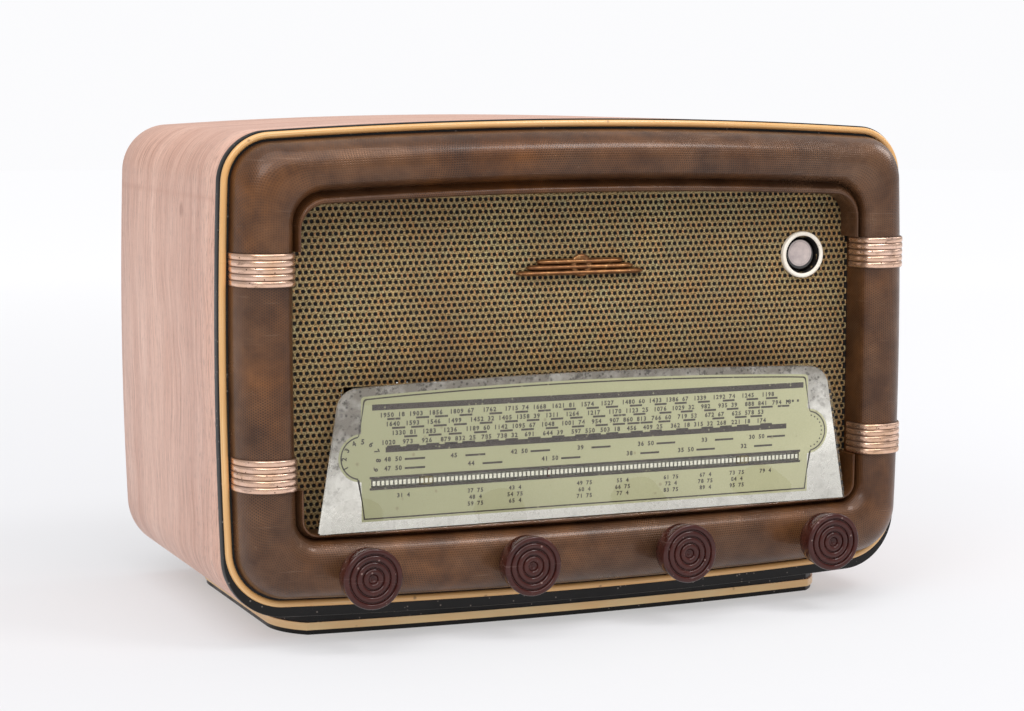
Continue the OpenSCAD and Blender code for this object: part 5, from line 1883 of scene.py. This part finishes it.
@dataclass
class Lettering:
    """Numerals and bars gathered for one flat print."""

    y: float
    points: list[Solid] = field(default_factory=list)
    faces: Faces = field(default_factory=list)
    shapes: dict[str, tuple[Line, Faces]] = field(default_factory=dict)

    def bar(self, x0: float, x1: float, z0: float, z1: float) -> None:
        """Adds a flat bar.

        Args:
            x0: Left side.
            x1: Right side.
            z0: Foot.
            z1: Top.
        """
        start = len(self.points)
        self.points += [(x0, self.y, z0), (x1, self.y, z0), (x1, self.y, z1), (x0, self.y, z1)]
        self.faces.append((start, start + 1, start + 2, start + 3))

    def numeral(self, mark: str) -> tuple[Line, Faces]:
        """The outline of one numeral at unit size, made once.

        Args:
            mark: The numeral.

        Returns:
            Its points and faces.
        """
        if mark not in self.shapes:
            curve = bpy.data.curves.new("numeral", "FONT")
            curve.body, curve.resolution_u, curve.offset = mark, 2, 0.04
            holder = place("numeral", curve)
            mesh = baked(holder)
            bpy.data.objects.remove(holder)
            wide = max((v.co.x for v in mesh.vertices), default=0.0) + min((v.co.x for v in mesh.vertices),
                                                                           default=0.0)
            self.shapes[mark] = ([(v.co.x - wide / 2, v.co.y) for v in mesh.vertices],
                                 [tuple(face.vertices) for face in mesh.polygons])
        return self.shapes[mark]

    def number(self, text: str, x: float, z: float, size: float, turn: float = 0.0) -> None:
        """Adds a number centred at a place.

        Args:
            text: Its numerals.
            x: Middle of the number.
            z: Its foot.
            size: Height of a line.
            turn: Turn about its middle in radians.
        """
        c, s = cos(turn), sin(turn)
        for k, mark in enumerate(text):
            if mark == " ":
                continue
            points, faces = self.numeral(mark)
            start, shift = len(self.points), (k - (len(text) - 1) / 2) * 0.62
            for px, pz in points:
                a, b = (px + shift) * size, pz * size
                self.points.append((x + a * c - b * s, self.y, z + a * s + b * c))
            self.faces += [tuple(start + i for i in face) for face in faces]

    def piece(self, name: str) -> Piece:
        """The print as one flat piece.

        Args:
            name: Name of the piece.

        Returns:
            The piece.
        """
        mesh = skin(name, self.points, self.faces)
        for face in mesh.polygons:
            if face.normal.y > 0:
                face.flip()
        return place(name, mesh)


@dataclass
class Dial:
    """Glass dial with its printed panel, silvered border and scale."""

    lean: float = 15 * MM
    arch: float = 4 * MM
    corner: float = 15 * MM
    panel_half: float = 162.5 * MM
    ear: float = 15.5 * MM
    ear_rise: float = 0.49
    window_rise: float = 0.29
    window_half: float = 156 * MM
    window_h: float = 6.4 * MM

    def build(self) -> None:
        """Builds glass, panel, border and prints."""
        self.low, self.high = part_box("dial_glass")
        self.print_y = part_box("dial_panel")[0].y
        self.panel_low, panel_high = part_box("dial_panel")[0].z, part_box("dial_panel")[1].z
        self.panel_h = panel_high - self.panel_low
        self.window_z = self.panel_low + self.window_rise * self.panel_h
        self.ear_z = self.panel_low + self.ear_rise * self.panel_h
        glass = plate("Dial_glass", [self.outline(0)], self.low.y, self.print_y - 0.08 * MM, 0.5 * MM)
        settle(glass, Finishes.glass, "clear_glass", "dial_glass")
        low, high = self.window_z - self.window_h / 2, self.window_z + self.window_h / 2
        side = self.window_half
        window = [(-side, low), (side, low), (side, high), (-side, high)]
        panel = plate("Dial_panel", [self.panel(0), window], self.print_y, self.print_y + 0.3 * MM)
        settle(panel, Finishes.panel, "sage_print", "dial_panel")
        mirror = plate("Dial_mirror", [self.outline(0.8 * MM), self.panel(0)], self.print_y,
                       self.print_y + 0.3 * MM)
        settle(mirror, Finishes.silver, "silvering", "dial_mirror")
        settle(self.marks(), Finishes.ink, "sage_print")
        settle(self.scale(), None, "white_paint")

    def outline(self, gap: float) -> Line:
        """The glass outline, smaller by gap: leaning sides, an arched top and round upper corners.

        Args:
            gap: Width taken off all round.

        Returns:
            Its points.
        """
        foot, top = self.low.z + gap, self.high.z - gap
        half = self.high.x - gap
        shoulder = top - self.arch
        upper = half - self.lean
        slope = atan2(shoulder - foot, upper - half)
        r = self.corner - gap
        arch_r = sag_radius(upper, self.arch)
        nx, nz = sin(slope), -cos(slope)
        reach, centre = arch_r - r, (0.0, top - arch_r)
        base = (half - r * nx, foot - r * nz)
        dx, dz = cos(slope), sin(slope)
        b = base[0] * dx + (base[1] - centre[1]) * dz
        c = base[0] ** 2 + (base[1] - centre[1]) ** 2 - reach**2
        t = -b + sqrt(b * b - c)
        corner = (base[0] + dx * t, base[1] + dz * t)
        start = atan2(nz, nx)
        end = atan2(corner[1] - centre[1], corner[0])
        right = [(half, foot)] + arc(corner, r, start, end, 14) + arc(centre, arch_r, end, pi / 2, 24)[1:]
        return mirrored(right)

    def panel(self, gap: float) -> Line:
        """The panel outline with its two round ears, smaller by gap.

        Args:
            gap: Width taken off all round.

        Returns:
            Its points.
        """
        foot, top, half = self.panel_low + gap, self.panel_low + self.panel_h - gap, self.panel_half - gap
        arch_r = sag_radius(self.panel_half, self.arch) - gap
        centre = (0.0, top - arch_r)
        ear = self.ear - gap
        bite = acos(min(1.0, gap / ear)) if gap else pi / 2
        round_ear = arc((self.panel_half, self.ear_z), ear, -pi + (pi - bite), bite, 28)
        edge = acos(half / arch_r)
        corner_z = centre[1] + arch_r * sin(edge)
        soft = 2.2 * MM
        knee = arc((half - soft, corner_z - soft), soft, 0, pi / 2 - 0.06, 5)
        right = [(half, foot)] + round_ear + knee + arc(centre, arch_r, edge + 0.0035, pi / 2, 24)
        return mirrored(right)

    def marks(self) -> Piece:
        """Border line, bars, numbers and dashes.

        Returns:
            The piece.
        """
        ink = Lettering(self.print_y - 0.03 * MM)
        top = self.panel_low + self.panel_h
        border = outline_mesh("border", [self.panel(1.4 * MM), self.panel(2.3 * MM)], ink.y, ink.y)
        ink.points += [tuple(v.co) for v in border.vertices]
        ink.faces += [tuple(face.vertices) for face in border.polygons]
        ink.bar(-155 * MM, 159 * MM, top - 13 * MM, top - 9.2 * MM)
        ink.bar(-146 * MM, 146 * MM, top - 40.4 * MM, top - 37 * MM)
        for rise in (1, -1):
            z = self.window_z + rise * 3.6 * MM
            ink.bar(-157 * MM, 157 * MM, z - 0.75 * MM, z + 0.75 * MM)
        self.stations(ink, top)
        self.long_waves(ink, top)
        self.groups(ink)
        self.ears(ink)
        return ink.piece("Dial_marks")

    def stations(self, ink: Lettering, top: float) -> None:
        """Four close rows of numbers, each with a dash under it.

        Args:
            ink: Print to add to.
            top: Top of the panel.
        """
        for row in range(4):
            z = top - (17.6 + 5.9 * row) * MM
            x, step = -150 * MM + (row * 37 % 11) * MM, 0
            while x < (138 - 3 * row) * MM:
                seed = (row * 53 + step * 29) % 97
                digits = 4 + (seed % 3 == 0) * 2 + (seed % 5 == 0)
                first = str(1950 - row * 310 - step * 47)
                second = str(18 + (seed * 7) % 70)
                text = first[:4] if digits == 4 else f"{first[:4]} {second}"[:digits + 1]
                wide = len(text) * 0.62 * 4.0 * MM
                ink.number(text, x + wide / 2, z, 4.0 * MM)
                dash = x + wide * (0.3 + 0.05 * (seed % 5))
                ink.bar(dash, dash + 9 * MM, z - 2.0 * MM, z - 0.7 * MM)
                x += wide + (2.6 + seed % 4) * MM
                step += 1

    def long_waves(self, ink: Lettering, top: float) -> None:
        """Two open rows of numbers with dashes beside them.

        Args:
            ink: Print to add to.
            top: Top of the panel.
        """
        for row, places in enumerate(((-146, -104, -58, -14, 34, 78, 118), (-146, -92, -36, 22, 64, 108))):
            z = top - (46.2 + 5.9 * row) * MM
            for k, x in enumerate(places):
                text = str(48 - 3 * k - row) + (" 50" if k % 2 == 0 else "")
                ink.number(text, x * MM + 5 * MM, z, 4.0 * MM)
                ink.bar((x + 13) * MM, (x + 27) * MM, z + 0.2 * MM, z + 1.5 * MM)

    def groups(self, ink: Lettering) -> None:
        """Small groups of three short lines under the scale.

        Args:
            ink: Print to add to.
        """
        for k, x in enumerate((-134, -84, -56, -6, 22, 58, 84, 108, 130)):
            for row in range(3 if k not in (0, 8) else 1):
                z = self.window_z - (9.8 + 4.3 * row) * MM
                ink.number(str(31 + 6 * k + 11 * row) + (" 75" if (k + row) % 2 else " 4"), x * MM, z,
                           3.7 * MM)
        for x in (146, 150, 154):
            ink.bar(x * MM, (x + 1.6) * MM, self.panel_low + 62 * MM, self.panel_low + 63.6 * MM)

    def ears(self, ink: Lettering) -> None:
        """A ring of numbers round the left ear and of ticks round the right one.

        Args:
            ink: Print to add to.
        """
        r = self.ear - 5.4 * MM
        for k in range(9):
            a = radians(205 - 30 * k)
            x, z = -self.panel_half + r * cos(a), self.ear_z + r * sin(a)
            ink.number(str(k + 1), x, z - 1.2 * MM, 4.6 * MM, a - pi / 2)
        for k in range(11):
            a = radians(-75 + 15 * k)
            x, z = self.panel_half + (r + MM) * cos(a), self.ear_z + (r + MM) * sin(a)
            ink.bar(x - 0.5 * MM, x + 0.5 * MM, z - 0.5 * MM, z + 0.5 * MM)

    def scale(self) -> Piece:
        """The light blocks of the scale between the double bars, laid by a tree.

        Returns:
            The piece.
        """
        block = Lettering(0.0)
        block.bar(-0.95 * MM, 0.95 * MM, -1.5 * MM, 1.5 * MM)
        shape = block.piece("block")
        count = 104
        piece = run_tree("Dial_scale", row_tree("scale_blocks"), {"Shape": shape, "Count": count,
                                                                  "Pitch": 2 * 154 * MM / (count - 1),
                                                                  "Start X": -154 * MM,
                                                                  "Start Y": self.print_y - 0.03 * MM,
                                                                  "Start Z": self.window_z,
                                                                  "Material": Finishes.pale_ink.material()})
        bpy.data.objects.remove(shape)
        return piece


@dataclass
class Knobs:
    """Four ringed knobs, each on its own turning body."""

    nodes = ("knob_volume", "knob_tone", "knob_band", "knob_tuning")
    ring_r: float = 1.9 * MM
    rim: float = 3.8 * MM
    sink: float = 1.7 * MM
    boss: float = 8 * MM
    boss_h: float = 4 * MM
    head_h: float = 16 * MM
    bore: float = 3.1 * MM
    bore_h: float = 6 * MM
    dimple: tuple[Flat, ...] = ((0, 2.2), (1, 2.1), (1.5, 1.75), (2, 1.45), (2.7, 1.45))
    edge: tuple[Flat, ...] = ((3.45, 0.6), (2.9, 0.12), (2.2, 0), (1.2, 0.12), (0.45, 0.5), (0.08, 1.2),
                              (0, 2), (0.8, 9), (1.5, 15.2), (2.1, 16))

    def build(self) -> None:
        """Builds the knobs."""
        for node in self.nodes:
            piece = self.knob(node)
            settle(piece, Finishes.bakelite, "bakelite", node, body=node.split("_")[1])

    def knob(self, node: str) -> Piece:
        """One knob, turned from its profile.

        Args:
            node: CAD node that it stands for.

        Returns:
            The knob.
        """
        low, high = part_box(node)
        centre, r = centre_of(node), (high.x - low.x) / 2
        back = high.y - self.boss_h
        front = back - self.head_h
        profile = [(x * MM, front + y * MM) for x, y in self.dimple]
        outer = r - self.rim - 0.5 * MM - self.ring_r
        for k in (2, 1, 0):
            middle = outer - k * (2 * self.ring_r + 0.5 * MM)
            for step in range(13):
                a = pi * step / 12
                profile.append((middle - self.ring_r * cos(a), front + self.sink * (1 - sin(a) ** 0.8)))
        profile += [(r - self.rim, front + self.sink)] + [(r - x * MM, front + y * MM) for x, y in self.edge]
        base, bore = back + self.boss_h, back - self.bore_h
        profile += [(self.boss, back), (self.boss, base), (self.bore, base), (self.bore, bore), (0.0, bore)]
        return lathe(node.replace("knob", "Knob"), profile, centre, 128, sharp=50)


@dataclass
class Rear:
    """Slotted screws of the back panel."""

    head_r: float = 3.4 * MM
    head_h: float = 2 * MM

    def build(self) -> None:
        """Sets a screw on each hole of the back."""
        low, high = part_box("back_screws")
        xs = (low.x + self.head_r, high.x - self.head_r)
        zs = (low.z + self.head_r, centre_of("trim_piping")[1], high.z - self.head_r)
        guide = place("guide", skin("guide", [(x, high.y, z) for x in xs for z in zs], []))
        shape = self.screw(low.y - high.y)
        piece = run_tree("Back_screws", point_tree("screw_points"), {
            "Shape": shape, "Guide": guide, "Seed": 11, "Material": Finishes.brass.material()})
        bpy.data.objects.remove(shape)
        bpy.data.objects.remove(guide)
        settle(piece, None, "brass_turned", "back_screws")

    def screw(self, shank: float) -> Piece:
        """A round-head screw with its slot, its crown at the origin.

        Args:
            shank: Length of the shank.

        Returns:
            The screw.
        """
        h, r = self.head_h, self.head_r
        dome = [(r * sin(a), -0.9 * h * (1 - cos(a))) for a in (pi / 2 * k / 8 for k in range(9))]
        head = lathe("screw", [(x, y) for x, y in dome] + [(r, -h), (1.5 * MM, -h), (1.5 * MM, shank),
                                                           (0, shank)], (0, 0), 28)
        cutter = loft("slot", [[(-0.45 * MM, -1.0 * MM, z), (0.45 * MM, -1.0 * MM, z), (0.45 * MM, MM, z),
                                (-0.45 * MM, MM, z)] for z in (-4 * MM, 4 * MM)])
        return cut_by(head, cutter)


class Works:
    """CAD nodes that stay as they are and get their finishes."""

    finishes = {
        Finishes.board: ("baffle_board", "back_battens"),
        Finishes.steel: ("eye_bracket", "chassis", "gang_frame"),
        Finishes.white: ("dial_backplate",),
        Finishes.lamp: ("dial_lamps",),
        Finishes.turned_steel: ("pointer_rail", "tuning_spindle", "volume_shaft", "tone_shaft", "band_shaft"),
        Finishes.red_ink: ("pointer",),
        Finishes.aluminium: ("drive_drum", "if_cans", "filter_capacitor", "gang_rotor", "gang_stator"),
        Finishes.linen: ("drive_cord",),
        Finishes.pulley: ("pulley_left", "pulley_right"),
        Finishes.brass: ("tuning_bush",),
        Finishes.housing: ("volume_control", "tone_control", "speaker_basket"),
        Finishes.resin: ("band_switch", "valve_sockets", "rear_sockets"),
        Finishes.rubber: ("chassis_mounts", "cord_grommet"),
        Finishes.iron: ("mains_transformer", "output_transformer", "speaker_magnet"),
        Finishes.valve_glass: ("valves",),
        Finishes.paper: ("speaker_cone",),
        Finishes.fibre: ("back_panel",),
        Finishes.lacquer: ("plinth",),
        # Painted light: the plinth stripe wears the paler copy of the cream trim.
        Finishes.stripe: ("plinth_stripe",),
    }

    def build(self) -> None:
        """Dresses each node."""
        for finish, nodes in self.finishes.items():
            for node in nodes:
                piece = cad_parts[node]
                dress(piece, finish)
                LOG.info("%s: %s", node, finish.name)


@dataclass
class Studio:
    """Pale floor, soft light and the camera."""

    camera: Solid = (-0.65681, -1.60346, 0.35864)
    yaw: float = 22.39
    pitch: float = 6.34
    lens: float = 84.88
    ambient: float = 0.53
    sun_power: float = 1.85
    sun_way: Solid = (0.22, 0.5, -1.0)
    sun_spread: float = 70.0
    target: Solid = (0.0, 0.0, 0.17)
    reach: float = 9.0

    @staticmethod
    def turn(way: Vector) -> Euler:
        """The turn that makes a light or a camera look along a way."""
        return way.to_track_quat("-Z", "Y").to_euler()

    def build(self) -> None:
        """Builds floor, world, lights and camera."""
        scene = bpy.context.scene
        scene.view_settings.view_transform = "Standard"
        scene.world = self.backdrop()
        self.floor()
        self.sun()
        self.lamp("key", (-1.5, -1.5, 1.7), 0.9, 9.0)
        self.lamp("strip", (0.85, -1.1, 1.9), 0.6, 11.0)
        self.lamp("rim", (1.9, 0.2, 1.3), 0.8, 7.0)
        self.shot(scene)

    def backdrop(self) -> bpy.types.World:
        """A near-white backdrop that gives less light than it shows.

        Returns:
            The world.
        """
        world = bpy.data.worlds.new("studio")
        world.use_nodes = True
        world.node_tree.nodes.clear()
        net = Net(world.node_tree)
        seen = net.add("ShaderNodeLightPath").outputs["Is Camera Ray"]
        strength = net.span(seen, 0.0, 1.0, self.ambient, 1.0)
        tone = net.add("ShaderNodeBackground", {0: (0.97, 0.97, 0.985, 1), 1: strength})
        net.add("ShaderNodeOutputWorld", {0: tone.outputs[0]})
        return world

    def sun(self) -> None:
        """A very soft sun, the even light on floor and set."""
        data = bpy.data.lights.new("sun", "SUN")
        data.energy, data.angle = self.sun_power, radians(self.sun_spread)
        lamp = place("sun", data)
        lamp.rotation_euler = self.turn(Vector(self.sun_way))

    def floor(self) -> None:
        """A wide pale floor."""
        points = [(x, y, 0.0) for x, y in arc((0, 0), self.reach, 0, 2 * pi, 96)[:-1]]
        mesh = skin("floor", points, [tuple(range(len(points)))])
        dress(place("Floor", mesh), PaleFloor("studio_floor"))

    def lamp(self, name: str, spot: Solid, size: float, power: float) -> None:
        """A square soft light that looks at the set.

        Args:
            name: Name of the light.
            spot: Where it stands.
            size: Length of its side.
            power: Power in watts.
        """
        data = bpy.data.lights.new(name, "AREA")
        data.shape, data.size, data.energy = "SQUARE", size, power
        lamp = place(name, data)
        lamp.location = spot
        lamp.rotation_euler = self.turn(Vector(self.target) - Vector(spot))

    def shot(self, scene: bpy.types.Scene) -> None:
        """The camera.

        Args:
            scene: Scene that it is the camera of.
        """
        data = bpy.data.cameras.new("camera")
        data.lens, data.sensor_width, data.clip_start, data.clip_end = self.lens, 36.0, 0.05, 60.0
        camera = place("camera", data)
        yaw, pitch = radians(self.yaw), radians(self.pitch)
        look = Vector((sin(yaw) * cos(pitch), cos(yaw) * cos(pitch), -sin(pitch)))
        camera.location = self.camera
        camera.rotation_euler = self.turn(look)
        scene.camera = camera


def write_sizes() -> None:
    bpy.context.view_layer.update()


def main() -> None:
    """Builds the studio and the set."""
    logging.basicConfig(level=logging.INFO, format="%(name)s %(message)s")
    Studio().build()
    body = Body()
    builders: list[Callable[[], None]] = [
        Cabinet(body).build, Moulding(body).build, Grille(body).build, Indicator().build, Dial().build,
        Knobs().build, Rear().build, Works().build]
    for build in builders:
        build()
    write_sizes()


if __name__ == "__main__":
    main()
